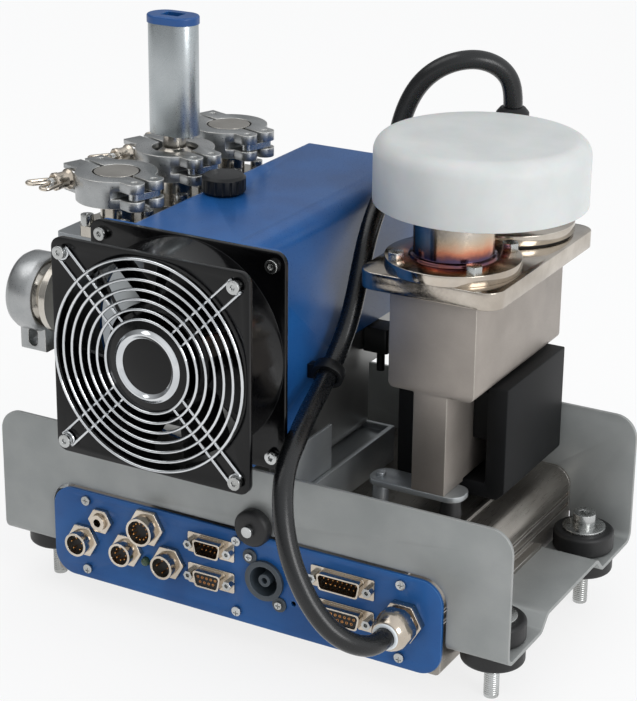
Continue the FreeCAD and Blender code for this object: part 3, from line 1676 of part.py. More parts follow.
def make_side_clamp():
    y, z = side_port_depth, side_port_z
    start = side_clamp_start()
    end = start - side_clamp_width
    inner = side_port_radius + side_port_flange_extra + seat_gap
    bow = turned([
        (inner, 0), (side_clamp_radius - side_clamp_edge, 0), (side_clamp_radius, side_clamp_slope),
        (side_clamp_radius, side_clamp_width - side_clamp_slope),
        (side_clamp_radius - side_clamp_edge, side_clamp_width),
        (inner, side_clamp_width)], (start, y, z), V(-1, 0, 0))
    tab_low = z - side_clamp_radius - side_tab_length * side_tab_hang
    tab_y = y - side_tab_thickness / 2 - side_tab_offset
    tab = rounded_box(end, start, tab_y, tab_y + side_tab_thickness, tab_low, z - inner + 1.0,
                      side_tab_corner, "side")
    middle = (start + end) / 2
    hole_low = tab_low + side_tab_hole_rise
    slot = rounded_box(
        middle - side_tab_hole_width / 2, middle + side_tab_hole_width / 2, tab_y - 1,
        tab_y + side_tab_thickness + 1, hole_low, hole_low + side_tab_hole_length,
        side_tab_hole_width / 2 - 0.01, "front")
    clear = rod(inner, (start + 1, y, z), (end - 1, y, z))
    return joined([bow, tab.cut(clear)]).cut(slot)


# Mass spectrometer

def make_analyser():
    blade_left = analyser_x - blade_width / 2
    blade_right = blade_left + blade_width
    block = rounded_box(analyser_left, analyser_left + analyser_width, analyser_front, analyser_back,
                        analyser_bottom, analyser_top, analyser_corner, "front")
    clear_of_yoke = yoke_bottom + yoke_floor + blade_yoke_gap
    blade = box(blade_left, blade_right, analyser_front, blade_back, clear_of_yoke, analyser_bottom + 1)
    front_foot = box(blade_left, blade_right, analyser_front, analyser_front + blade_foot_depth,
                     blade_bottom, clear_of_yoke + 1)
    tail_foot = box(blade_left, blade_right, blade_back - blade_tail_depth, blade_back,
                    blade_bottom, clear_of_yoke + 1)
    square_top = box(analyser_left, analyser_left + analyser_width, analyser_front, analyser_back,
                     analyser_top - analyser_corner - 1, analyser_top)
    return joined([block, square_top, blade, front_foot, tail_foot])


def make_rear_cover():
    inset = rear_cover_inset
    return rounded_box(analyser_left + inset, analyser_left + analyser_width - inset, analyser_back,
                       analyser_back + rear_cover_thickness, analyser_bottom + inset,
                       analyser_top - inset, analyser_corner, "front")


def make_top_plate():
    return rounded_box(plate_left, plate_left + plate_width, plate_front, plate_back,
                       analyser_top, plate_top, plate_corner, "top")


def make_source_flange():
    x, y = first_flange_place
    top = inlet_bottom()
    weld_top = first_flange_top + weld_height
    profile = [
        (tube_radius - tube_wall, plate_top), (flange_radius, plate_top), (flange_radius, first_flange_top),
        (weld_radius, first_flange_top), (weld_radius - weld_slope, weld_top - weld_shoulder),
        (tube_radius, weld_top),
        (tube_radius, top), (tube_radius - tube_wall, top)]
    flange = turned(profile, (x, y, 0), UP)
    keep = box(x - 2 * flange_radius, x + 2 * flange_radius, y - 2 * flange_radius,
               second_flange_place[1] - second_flange_radius - seat_gap, plate_top - 1, top + 1)
    return flange.common(keep)


def inlet_bottom():
    return shroud_top - shroud_edge - inlet_flange_thickness


def make_inlet_flange():
    """Large flange under the cap, offset from its tube, closed on the tube's side."""
    x, y = shroud_place
    low = inlet_bottom()
    flange = rod(inlet_flange_radius, (x, y, low), (x, y, low + inlet_flange_thickness))
    bore = rod(tube_radius - tube_wall, (first_flange_place[0], first_flange_place[1], low - 1),
               (first_flange_place[0], first_flange_place[1], low + inlet_flange_thickness + 1))
    return flange.cut(bore)


def flange_bolt_places():
    x, y = first_flange_place
    half = flange_bolt_spacing / 2
    for across_sign in (-1, 1):
        for depth_sign in (-1, 1):
            yield x + across_sign * half, y + depth_sign * half


def make_source_bolts():
    return group([
        hexagon(flange_bolt_flat, (x, y, first_flange_top), (x, y, first_flange_top + flange_bolt_height))
        for x, y in flange_bolt_places()])


def make_second_flange():
    x, y = second_flange_place
    return rod(second_flange_radius, (x, y, second_flange_bottom), (x, y, second_flange_top))


def make_gasket():
    x, y = second_flange_place
    return pipe(second_flange_radius - gasket_outer_inset, second_flange_radius - gasket_inner_inset,
                (x, y, plate_top), (x, y, second_flange_bottom))


def make_connector():
    x, y = connector_place
    low = second_flange_top
    height = connector_height
    collar = connector_collar_height
    groove = height - collar - connector_groove_drop
    waist = connector_radius - connector_groove_depth
    grip = connector_radius + connector_grip_extra
    profile = [
        (0, 0), (connector_collar_radius, 0), (connector_collar_radius, connector_foot_height),
        (connector_radius, connector_foot_height + connector_foot_slope), (connector_radius, groove),
        (waist, groove + connector_groove_slope), (waist, height - collar),
        (grip, height - collar + connector_grip_slope), (grip, height - connector_tip_height),
        (cable_diameter / 2 + connector_tip_wall, height), (0, height)]
    return turned(profile, (x, y, low), UP)


def make_shroud():
    x, y = shroud_place
    low = shroud_bottom
    outer = rod(shroud_radius, (x, y, low), (x, y, shroud_top))
    top_edge = [edge for edge in outer.Edges if edge.Closed and edge.BoundBox.ZMin > shroud_top - 1]
    outer = outer.makeFillet(shroud_edge, top_edge)
    hollow = rod(inlet_flange_radius + seat_gap, (x, y, low - 1), (x, y, shroud_top - shroud_edge))
    step = rod(inlet_flange_radius - shroud_edge + shroud_step, (x, y, low), (x, y, shroud_top - shroud_wall))
    return outer.cut(together([hollow, step]))


# Magnet

def make_yoke():
    left = analyser_x - yoke_width / 2
    right = left + yoke_width
    outer = extruded(
        [(left + yoke_chamfer, yoke_bottom), (right - yoke_chamfer, yoke_bottom),
         (right, yoke_bottom + yoke_chamfer), (right, yoke_top), (left, yoke_top),
         (left, yoke_bottom + yoke_chamfer)],
        [0] * 6, "front", yoke_front, yoke_back - yoke_front)
    inner = box(left + yoke_arm, right - yoke_arm, yoke_front - 1, yoke_back + 1,
                yoke_bottom + yoke_floor, yoke_top + 1)
    return outer.cut(inner)


def make_poles():
    left = analyser_x - yoke_width / 2 + yoke_arm
    right = analyser_x + yoke_width / 2 - yoke_arm
    blade_left = analyser_x - blade_width / 2 - pole_face_gap
    blade_right = analyser_x + blade_width / 2 + pole_face_gap
    low = yoke_top - pole_bottom_drop
    high = yoke_top - pole_top_drop
    return group([
        box(left, blade_left, pole_front, pole_back, low, high),
        box(blade_right, right, pole_front, pole_back, low, high)])


# Supports under the blade

def make_shelf():
    shelf = rounded_box(shelf_left, shelf_right, analyser_front, shelf_back,
                        shelf_top - shelf_thickness, shelf_top, shelf_corner, "top")
    x, y = front_spacer_place
    return shelf.cut(rod(small_screw_radius + screw_gap, (x, y, shelf_top - shelf_thickness - 1),
                         (x, y, shelf_top + 1)))


def make_spacers():
    x, y = front_spacer_place
    low = housing_top
    front = joined([
        rod(spacer_radius, (x, y, low), (x, y, shelf_top - shelf_thickness)),
        rod(small_screw_radius, (x, y, shelf_top - shelf_thickness - 1), (x, y, shelf_top + 1)),
        rod(panel_screw_head_radius, (x, y, shelf_top), (x, y, shelf_top + spacer_head_height))])
    back_y = blade_back - rear_spacer_radius
    rear = rod(rear_spacer_radius, (analyser_x, back_y, low), (analyser_x, back_y, blade_bottom))
    return group([front, rear])


def make_rubber_foot():
    x, y = rubber_foot_place
    low = housing_top
    high = shelf_top - shelf_thickness
    return turned([
        (0, low), (rubber_foot_low[0], low), (rubber_foot_low[1], low + rubber_foot_bulge[0]),
        (rubber_foot_radius, low + rubber_foot_bulge[1]),
        (rubber_foot_high[0], high - rubber_foot_top_bevel), (rubber_foot_high[1], high),
        (0, high)], (x, y, 0), UP)


# Cable, its clip and the small plug on the pump

def cable_points():
    x, z = gland_place
    start = V(x, gland_mouth(), z)
    end = V(connector_place[0], connector_place[1], second_flange_top + connector_height)
    return [start] + [V(*point) for point in cable_route] + [end]


def make_cable():
    """Straight runs joined by tangent arcs, each as large as its two runs allow."""
    points = cable_points()
    radius = cable_diameter / 2
    edges = []
    length = 0.0
    last = points[0]
    radii = []
    for index in range(1, len(points) - 1):
        here = points[index]
        before = (points[index - 1] - here)
        after = (points[index + 1] - here)
        short_run = min(before.Length, after.Length)
        turn = math.pi - before.getAngle(after)
        arc_radius = 0.45 * short_run / math.tan(turn / 2)
        radii.append(arc_radius)
        reach = 0.45 * short_run
        inward = before.normalize()
        onward = after.normalize()
        first = here + inward * reach
        final = here + onward * reach
        middle = (inward + onward).normalize()
        apex = here + middle * (arc_radius / math.cos(turn / 2) - arc_radius)
        edges.append(Part.LineSegment(last, first).toShape())
        edges.append(Part.Arc(first, apex, final).toShape())
        length += (first - last).Length + arc_radius * turn
        last = final
    edges.append(Part.LineSegment(last, points[-1]).toShape())
    length += (points[-1] - last).Length
    path = Part.Wire(edges)
    section = Part.Wire(Part.makeCircle(radius, points[0], points[1] - points[0]))
    tube = path.makePipeShell([section], True, False)
    print("cable radii", [round(value) for value in radii], "length", round(length, 1))
    print("cable volume over section times length",
          round(tube.Volume / (math.pi * radius ** 2 * length), 4))
    return tube


def make_cable_clip():
    points = cable_points()
    place = points[clip_point + 1]
    along = (points[clip_point + 2] - points[clip_point]).normalize()
    start = place - along * (clip_width / 2)
    end = place + along * (clip_width / 2)
    ring = pipe(clip_radius, clip_bore, tuple(start), tuple(end))
    arm = box(cover_right, place.x - clip_bore + 1.0, place.y - clip_arm_half_depth,
              place.y + clip_arm_half_depth, place.z - clip_arm_half_height,
              place.z + clip_arm_half_height)
    bore = rod(clip_bore, tuple(place - along * 2 * clip_radius), tuple(place + along * 2 * clip_radius))
    return joined([ring, arm.cut(bore)])


def make_pump_plug():
    x, y = plug_place
    wide, deep, tall = plug_size
    top = base_deck + cover_high_edge - plug_drop
    body = rounded_box(pump_right, x + wide / 2, y - deep / 2, y + deep / 2, top - tall, top,
                       plug_corner, "top")
    stud = rod(plug_stud_radius, (x, y, top - tall + 1), (x, y, top - tall - plug_stud_length))
    return joined([body, stud])


def build():
    nodes = {
        "base_tray": make_tray,
        "foot_rubbers": make_foot_rubbers,
        "foot_bolts": lambda: group([make_foot_bolts(), make_foot_washers()]),
        "electronics_housing": make_housing,
        "housing_end_plate": make_end_plate,
        "circuit_board": make_circuit_board,
        "front_panel": make_front_panel,
        "panel_screws": lambda: group([make_panel_screws(), make_bumper_screw()]),
        "round_sockets": make_round_sockets,
        "socket_nuts": make_socket_nuts,
        "contact_inserts": lambda: group([make_socket_inserts(), make_dsub_inserts()]),
        "dsub_shells": make_dsub_shells,
        "jackscrews": make_jackscrews,
        "power_socket": make_power_socket,
        "status_led": make_status_led,
        "cable_gland": lambda: group([make_gland(), make_gland_nut()]),
        "rubber_bumpers": lambda: group([make_bumper(), make_rubber_foot()]),
        "pump_base": make_pump_base,
        "side_plate": make_side_plate,
        "pump_body": make_pump_body,
        "pump_lid": make_pump_lid,
        "pump_bearings": make_pump_bearings,
        "pump_rotor": make_pump_rotor,
        "pump_cover": make_cover,
        "vent_cap": make_vent_cap,
        "fan_frame": make_fan_frame,
        "fan_rotor": make_fan_rotor,
        "fan_guard": make_fan_guard,
        "fan_screws": make_fan_screws,
        "vacuum_block": make_vacuum_block,
        "vacuum_ports": make_ports,
        "vacuum_screws": lambda: group([make_port_screws(), make_source_bolts(), make_gauge_screws()]),
        "blank_discs": make_blank_discs,
        "clamp_jaws": make_clamp_jaws,
        "clamp_links": lambda: group([make_clamp_links(), make_clamp_pins()]),
        "swing_bolts": make_swing_bolts,
        "wing_nut_front": lambda: make_wing_nut(port_ys[0]),
        "wing_nut_middle": lambda: make_wing_nut(port_ys[1]),
        "wing_nut_rear": lambda: make_wing_nut(port_ys[2]),
        "gauge_stem": make_gauge_stem,
        "gauge_body": make_gauge_body,
        "gauge_cap": make_gauge_cap,
        "side_port": make_side_port,
        "side_clamp": make_side_clamp,
        "analyser_block": make_analyser,
        "rear_cover": make_rear_cover,
        "top_plate": make_top_plate,
        "source_flange": make_source_flange,
        "inlet_flange": make_inlet_flange,
        "protective_cap": make_shroud,
        "second_flange": make_second_flange,
        "flange_gasket": make_gasket,
        "sensor_connector": make_connector,
        "magnet_yoke": make_yoke,
        "pole_pieces": make_poles,
        "shelf_plate": lambda: group([make_shelf(), make_spacers()]),
        "sensor_cable": make_cable,
        "cable_clip": make_cable_clip,
        "pump_plug": make_pump_plug,
    }
    os.makedirs("parts", exist_ok=True)
    to_floor = V(-tray_length / 2, -tray_depth / 2, stud_drop)
    for name, make in nodes.items():
        shape = make()
        shape.translate(to_floor)
        solids = shape.Solids
        shape.exportStep(os.path.join("parts", name + ".step"))
        box_of = shape.BoundBox
        print(name, len(solids), "valid" if shape.isValid() else "NOT VALID",
              [round(value, 1) for value in (box_of.XMin, box_of.XMax, box_of.YMin,
                                             box_of.YMax, box_of.ZMin, box_of.ZMax)])


build()
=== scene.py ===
# %% [markdown]
# # Leak detector module
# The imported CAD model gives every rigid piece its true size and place. This
# lesson dresses it: a camera, the cable, one finish for each real surface,
# rounded edges, and the small pieces that a machine drawing leaves plain.
# Nothing is scaled or moved, so a new piece goes where the drawing says.

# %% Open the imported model
import json
import math
import bpy
from mathutils import Matrix, Vector

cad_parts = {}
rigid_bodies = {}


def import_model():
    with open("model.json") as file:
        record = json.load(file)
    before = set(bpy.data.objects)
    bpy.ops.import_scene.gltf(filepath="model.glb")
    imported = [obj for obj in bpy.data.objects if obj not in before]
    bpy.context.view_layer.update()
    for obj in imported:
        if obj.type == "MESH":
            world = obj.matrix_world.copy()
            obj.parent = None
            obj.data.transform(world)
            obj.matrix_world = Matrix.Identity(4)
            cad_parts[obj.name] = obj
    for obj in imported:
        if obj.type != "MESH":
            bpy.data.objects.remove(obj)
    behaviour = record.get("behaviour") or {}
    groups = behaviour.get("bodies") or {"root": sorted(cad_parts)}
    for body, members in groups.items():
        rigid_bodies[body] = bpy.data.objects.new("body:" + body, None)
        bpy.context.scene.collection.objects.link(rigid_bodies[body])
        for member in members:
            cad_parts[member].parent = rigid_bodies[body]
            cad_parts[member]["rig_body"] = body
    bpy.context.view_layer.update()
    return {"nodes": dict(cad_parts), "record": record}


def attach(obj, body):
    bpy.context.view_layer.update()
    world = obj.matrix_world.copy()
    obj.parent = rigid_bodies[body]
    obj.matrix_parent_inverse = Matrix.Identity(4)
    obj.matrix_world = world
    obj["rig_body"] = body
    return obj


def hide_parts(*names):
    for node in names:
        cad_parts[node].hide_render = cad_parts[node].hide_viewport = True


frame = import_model()
nodes = frame["nodes"]
node_body = {name: node["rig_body"] for name, node in nodes.items()}

# %% [markdown]
# Drawings of this machine count millimetres from the tray's left end, its
# front wall and its underside. The scene counts metres from the centre of the
# feet, so one helper turns a place on the drawing into a place in the scene.

# %% Places on the drawing
TRAY_LENGTH, TRAY_DEPTH, STUD_DROP = 320.0, 172.0, 33.0
MM = 0.001


def spot(x, y, z):
    """A place on the drawing, in millimetres, as a place in the scene."""
    return Vector((x - TRAY_LENGTH / 2, y - TRAY_DEPTH / 2, z + STUD_DROP)) * MM


FRONT, BACK, UP = Vector((0, -1, 0)), Vector((0, 1, 0)), Vector((0, 0, 1))

# %% [markdown]
# The photograph was taken from the front right and a little above. Its view
# was worked out from the machine's known sizes: where it stands, how it is
# turned, and a long lens. A small lens shift keeps the object where the
# photograph has it in the frame.

# %% Camera
azimuth, elevation, roll = math.radians(29.80), math.radians(19.67), math.radians(0.36)
image_width, image_height, focal_pixels = 637, 701, 2040
centre_x, centre_y = 297, 297
away = Vector((math.sin(azimuth) * math.cos(elevation),
               -math.cos(azimuth) * math.cos(elevation), math.sin(elevation)))
level = Vector((math.cos(azimuth), math.sin(azimuth), 0))
upright = away.cross(level)
across = math.cos(roll) * level + math.sin(roll) * upright
above = math.cos(roll) * upright - math.sin(roll) * level
lens = bpy.data.cameras.new("photo_view")
lens.sensor_width = 36
lens.lens = 36 * focal_pixels / image_height
lens.shift_x = (image_width / 2 - centre_x) / image_height
lens.shift_y = (centre_y - image_height / 2) / image_height
camera_place = spot(681.81, -850.77, 530.11)
camera = bpy.data.objects.new("photo_view", lens)
bpy.context.scene.collection.objects.link(camera)
camera.matrix_world = Matrix.Translation(camera_place) @ Matrix(
    (across, above, away)).transposed().to_4x4()
bpy.context.scene.camera = camera
print("lens", round(lens.lens, 2), "shift", round(lens.shift_x, 4), round(lens.shift_y, 4))

# %% [markdown]
# The black cable leaves the gland on the panel, bulges out in front, passes
# the fan, is held by a clip on the cover, climbs between cover and
# spectrometer and dives from above into the connector behind the white cap.
# It could be swept along straight runs and arcs, but a stiff cable has no
# corners, so it is one smooth spline through the drawing's own points. Its
# material is made together with the curve, because a curve that gets one
# later loses its measured size. The finish is built into it further down.

# %% The cable
CABLE_DIAMETER = 11.0
cable_points = [
    (261.5, -23.5, 14.0),
    (261.5, -32.9, 14.0),
    (258.4, -41.8, 16.3),
    (252.6, -49.3, 21.1),
    (244.8, -54.0, 28.5),
    (236.5, -55.6, 38.5),
    (229.6, -55.7, 49.4),
    (223.2, -54.2, 60.8),
    (217.7, -50.9, 72.4),
    (213.1, -45.8, 83.8),
    (209.4, -38.8, 93.8),
    (206.5, -29.9, 101.7),
    (204.1, -18.2, 106.9),
    (200.1, -3.3, 110.0),
    (194.7, 13.7, 112.0),
    (190.6, 31.0, 114.8),
    (187.6, 47.0, 120.4),
    (186.9, 60.0, 129.9),
    (187.0, 70.5, 142.0),
    (186.6, 78.6, 155.7),
    (185.9, 86.0, 170.3),
    (184.4, 95.5, 184.0),
    (182.6, 108.0, 195.0),
    (180.4, 123.0, 203.6),
    (177.0, 136.5, 213.0),
    (175.3, 146.3, 226.0),
    (176.5, 151.8, 241.0),
    (182.3, 154.9, 255.2),
    (192.1, 157.4, 265.8),
    (204.0, 161.7, 271.9),
    (215.7, 169.1, 272.7),
    (225.2, 177.4, 266.6),
    (230.0, 182.0, 255.7),
    (230.0, 182.0, 244.5),
]
line = bpy.data.curves.new("sensor_cable_jacket", "CURVE")
line.dimensions = "3D"
line.bevel_depth = CABLE_DIAMETER / 2 * MM
line.bevel_resolution = 6
line.resolution_u = 8
line.use_fill_caps = True
line.materials.append(bpy.data.materials.new("smooth_cable_jacket"))
run = line.splines.new("NURBS")
run.points.add(len(cable_points) - 1)
for point, place in zip(run.points, cable_points):
    point.co = (*spot(*place), 1)
run.order_u = 3
run.use_endpoint_u = True
cable = bpy.data.objects.new("sensor_cable_jacket", line)
bpy.context.scene.collection.objects.link(cable)
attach(cable, "chassis")
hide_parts("sensor_cable")
print("cable with", len(cable_points), "points")

# %% [markdown]
# Every finish is a small network of nodes. Two helpers keep the networks
# short: one turns a colour, written as sRGB hex, into the
# linear numbers that light needs, and one adds a node with its settings and
# its links.

# %% Colour and node helpers
def linear(hex_colour):
    """An sRGB hex colour as linear red, green, blue and full alpha."""
    parts = [int(hex_colour[at:at + 2], 16) / 255 for at in (0, 2, 4)]
    return tuple(part / 12.92 if part <= 0.04045 else ((part + 0.055) / 1.055) ** 2.4
                 for part in parts) + (1.0,)


def add(tree, kind, inputs=None, **settings):
    """One node, with its settings, and its inputs set or linked."""
    made = tree.nodes.new(kind)
    for name, value in settings.items():
        setattr(made, name, value)
    for name, value in (inputs or {}).items():
        if isinstance(value, bpy.types.NodeSocket):
            tree.links.new(value, made.inputs[name])
        else:
            made.inputs[name].default_value = value
    return made


# %% [markdown]
# Most finishes on a machine differ in five things that the eye reads at once:
# the colour and how patchy it is, the size of the grain, how deep the grain
# is, how dull it is, and how edges wear and shine. So one recipe builds them
# all, from sizes in millimetres. A broad pattern shades the colour in patches,
# as handling and light dust do. A fine pattern gives the grain its relief and
# breaks up the gloss. Where an edge is rounded, the normal turns away from
# the face, and there the colour goes over to a lighter edge colour: wear on
# paint, rubber and plastic, and a painted highlight on metals.

# %% The recipe of a finish
PATCH = 28.0


def finish(name, light, dark, metallic, roughness, grain, relief=0.0, swing=0.08,
           edge_wear_and_highlight=None, edge_width=0.5, stretch=(1, 1, 1), **shader_values):
    """A finish from its colours, its gloss, and its grain in millimetres."""
    material = bpy.data.materials.get(name) or bpy.data.materials.new(name)
    material.use_nodes = True
    tree = material.node_tree
    shader = tree.nodes["Principled BSDF"]
    place = add(tree, "ShaderNodeTexCoord").outputs["Object"]
    along = add(tree, "ShaderNodeMapping", {"Vector": place, "Scale": stretch}).outputs["Vector"]
    broad = add(tree, "ShaderNodeTexNoise", {
        "Vector": place, "Scale": 1000 / PATCH, "Detail": 4.0})
    fine = add(tree, "ShaderNodeTexNoise", {
        "Vector": along, "Scale": 1000 / grain, "Detail": 3.0})
    patches = add(tree, "ShaderNodeMapRange", {
        "Value": broad.outputs["Fac"], "From Min": 0.35, "From Max": 0.65})
    colour = add(tree, "ShaderNodeMix", {
        "Factor": patches.outputs["Result"], "A": linear(dark), "B": linear(light)},
        data_type="RGBA").outputs["Result"]
    round_edge = add(tree, "ShaderNodeBevel", {"Radius": edge_width * MM}, samples=6)
    relief_normal = add(tree, "ShaderNodeBump", {
        "Height": fine.outputs["Fac"], "Strength": 1.0 if relief else 0.0,
        "Distance": max(relief, 0.001) * MM, "Normal": round_edge.outputs["Normal"]})
    # Lighter colour on rounded edges: wear on paint, rubber and plastic, and a painted highlight
    # on metals.
    if edge_wear_and_highlight:
        facing = add(tree, "ShaderNodeVectorMath", {
            0: round_edge.outputs["Normal"],
            1: add(tree, "ShaderNodeNewGeometry").outputs["Normal"]}, operation="DOT_PRODUCT")
        rubbed_and_highlit = add(tree, "ShaderNodeMapRange", {
            "Value": facing.outputs["Value"], "From Min": 0.99, "From Max": 0.86})
        colour = add(tree, "ShaderNodeMix", {
            "Factor": rubbed_and_highlit.outputs["Result"], "A": colour, "B": linear(edge_wear_and_highlight)},
            data_type="RGBA").outputs["Result"]
    gloss = add(tree, "ShaderNodeMapRange", {
        "Value": fine.outputs["Fac"], "From Min": 0.3, "From Max": 0.7,
        "To Min": max(roughness - swing, 0.02), "To Max": min(roughness + swing, 1.0)})
    tree.links.new(colour, shader.inputs["Base Color"])
    tree.links.new(gloss.outputs["Result"], shader.inputs["Roughness"])
    tree.links.new(relief_normal.outputs["Normal"], shader.inputs["Normal"])
    shader.inputs["Metallic"].default_value = metallic
    for key, value in shader_values.items():
        shader.inputs[key.replace("_", " ")].default_value = value
    return material


finishes = {}

# %% [markdown]
# Paint comes first, because it covers the largest faces. The tray is sheet
# steel with a warm grey powder coat: baked powder flows into a fine orange
# peel, about half a millimetre across, that spreads highlights into a soft
# sheen. The panel and the cover carry a smoother blue coat with a little more
# gloss, rubbed paler along folded edges. The magnet has a dead black paint.

# %% Paint and powder coat
finishes["grey_powder_coat"] = finish(
    "grey_powder_coat", "989a99", "8d908f", 0.35, 0.42, grain=0.7, relief=0.010,
    edge_wear_and_highlight="b4b4b0", edge_width=0.6)
finishes["blue_powder_coat"] = finish(
    "blue_powder_coat", "1f5795", "1a4c86", 0.0, 0.34, grain=0.8, relief=0.006,
    edge_wear_and_highlight="4f82b4", edge_width=0.5, Specular_IOR_Level=0.32)
finishes["magnet_black"] = finish(
    "matte_black_paint", "0d0e10", "090a0b", 0.0, 0.58, grain=0.5, relief=0.010,
    edge_wear_and_highlight="202225", edge_width=0.5, Specular_IOR_Level=0.22)

# %% [markdown]
# Metals keep the default index and differ in colour, grain and gloss. A
# nickel plate is warm and nearly mirror bright. Zinc is cooler and a little
# cloudy. Turned stainless steel has rings too fine to see, which widen its
# highlights. Cast aluminium that was tumbled is soft and slightly pitted.
# Extruded or rolled aluminium carries drawn lines along one direction, so its
# grain is squeezed across that direction. Blasted steel is an even, dull grey
# with a grit of about a third of a millimetre, drawn a little coarser so
# that it shows.

# %% Metals
# On the metals below, the lighter edge colour is a painted highlight along rounded edges.
finishes["nickel"] = finish(
    "nickel_plate", "d2c8ba", "b9aea0", 1.0, 0.20, grain=1.2, relief=0.0012,
    edge_wear_and_highlight="f0e8dc", edge_width=0.35)
finishes["zinc_steel"] = finish(
    "zinc_plate", "c4c6c6", "a5a6a4", 1.0, 0.25, grain=0.9, relief=0.002,
    edge_wear_and_highlight="e6e6e4", edge_width=0.3)
finishes["stainless"] = finish(
    "turned_stainless", "c6c1b8", "a7a198", 1.0, 0.19, grain=1.0, relief=0.0010,
    edge_wear_and_highlight="e6e2da", edge_width=0.4)
finishes["guard_chrome"] = finish(
    "bright_chrome", "dcdee0", "c6c9cc", 1.0, 0.09, grain=2.0, swing=0.03)
finishes["cast_aluminium"] = finish(
    "tumbled_cast_aluminium", "b4b5b5", "979a9b", 0.95, 0.33, grain=0.8, relief=0.006,
    edge_wear_and_highlight="e4e1da", edge_width=0.7)
finishes["pump_aluminium"] = finish(
    "machined_aluminium", "a5a5a3", "9a9a98", 0.9, 0.38, grain=0.5, relief=0.008,
    stretch=(1, 6, 1), edge_wear_and_highlight="cfcfcd")
finishes["plate_aluminium"] = finish(
    "rolled_aluminium_sheet", "a6aaab", "9ca0a4", 0.75, 0.40, grain=0.35, relief=0.006,
    stretch=(1, 0.05, 1), edge_wear_and_highlight="d6d9da", edge_width=0.5)
finishes["mill_aluminium"] = finish(
    "extruded_aluminium", "9f9a93", "8e8881", 0.9, 0.33, grain=0.5, relief=0.008,
    stretch=(1, 0.03, 1), edge_wear_and_highlight="dedcd8", edge_width=0.6)
finishes["satin_anodised"] = finish(
    "satin_anodised_aluminium", "b3b8ba", "a3a9ab", 0.9, 0.30, grain=0.4, relief=0.003,
    edge_wear_and_highlight="dcdee2", edge_width=0.5)
finishes["blasted_steel"] = finish(
    "bead_blasted_steel", "a8a099", "9b948d", 0.8, 0.48, grain=0.45, relief=0.016,
    edge_wear_and_highlight="d2cdc4", edge_width=0.7)
finishes["contact_gold"] = finish(
    "gold_flashed_contact", "e0a868", "b87a48", 1.0, 0.25, grain=1.0)

# %% [markdown]
# Moulded parts follow. The fan is glossy black plastic that mirrors the room.
# Connector bodies are duller, with a fine spark eroded grain. Rubber feet and
# the bumper are the darkest and the dullest, and dust greys their edges. The
# cable's jacket is smooth with a soft sheen. The cap is milky plastic that
# lets light wander inside it, so its shadows stay pale.

# %% Plastics and rubber
finishes["black_fan"] = finish(
    "glossy_black_plastic", "070708", "040405", 0.0, 0.17, grain=1.5, relief=0.0012,
    edge_wear_and_highlight="1c1e21", edge_width=0.4, Specular_IOR_Level=0.28)
finishes["black_plastic"] = finish(
    "moulded_black_plastic", "121315", "0b0c0d", 0.0, 0.40, grain=0.5, relief=0.01,
    edge_wear_and_highlight="2b2d30", edge_width=0.35, Specular_IOR_Level=0.3)
finishes["socket_grey"] = finish(
    "moulded_grey_black_plastic", "3c444b", "2c3339", 0.0, 0.38, grain=0.5, relief=0.01,
    edge_wear_and_highlight="66707a", edge_width=0.35)
finishes["foot_rubber"] = finish(
    "black_rubber", "161617", "0c0c0d", 0.0, 0.50, grain=0.6, relief=0.012,
    edge_wear_and_highlight="303134", edge_width=0.8)
finishes["gasket_black"] = finish(
    "seal_rubber", "1d1c1c", "141313", 0.0, 0.6, grain=0.6, relief=0.01)
finishes["cable_black"] = finish(
    "smooth_cable_jacket", "0e1012", "08090b", 0.0, 0.28, grain=1.4, relief=0.006, swing=0.05)
finishes["white_plastic"] = finish(
    "milky_white_plastic", "d2d4d3", "c9cccb", 0.0, 0.46, grain=0.9, relief=0.006,
    Subsurface_Weight=0.25, Subsurface_Scale=0.004)
finishes["blue_plastic"] = finish(
    "moulded_blue_plastic", "164f8e", "11437d", 0.0, 0.38, grain=0.6, relief=0.006,
    edge_wear_and_highlight="3f78b0", edge_width=0.4)
finishes["board_green"] = finish(
    "solder_mask_green", "1d4a30", "143a25", 0.0, 0.35, grain=1.0, relief=0.01)
finishes["lamp_clear"] = finish(
    "tinted_lamp", "4d6a50", "3c5a42", 0.0, 0.15, grain=2.0, Transmission_Weight=0.4)
finishes["seal_white"] = finish(
    "white_seal_ring", "e8ecef", "d4dade", 0.0, 0.4, grain=0.8, relief=0.006)
finishes["lead_red"] = finish("red_lead", "b0261c", "8c1c16", 0.0, 0.35, grain=1.0)
finishes["lead_blue"] = finish("blue_lead", "2a4fae", "1f3c8c", 0.0, 0.35, grain=1.0)
print(len(finishes), "finishes")

# %% [markdown]
# The spectrometer's flanges are polished stainless steel, and their lighter
# rounded edges are a painted highlight. A welder's torch has tinted the steel
# round the foot of the tube: next to the seam the oxide is blue and purple,
# then copper, then straw, and a centimetre away the metal is bare again. This
# dark tint also stands in for a painted dark reflection on the flange. The tint
# follows the distance from the tube's axis, measured in the plane, and on the
# tube's own wall the height above the seam.

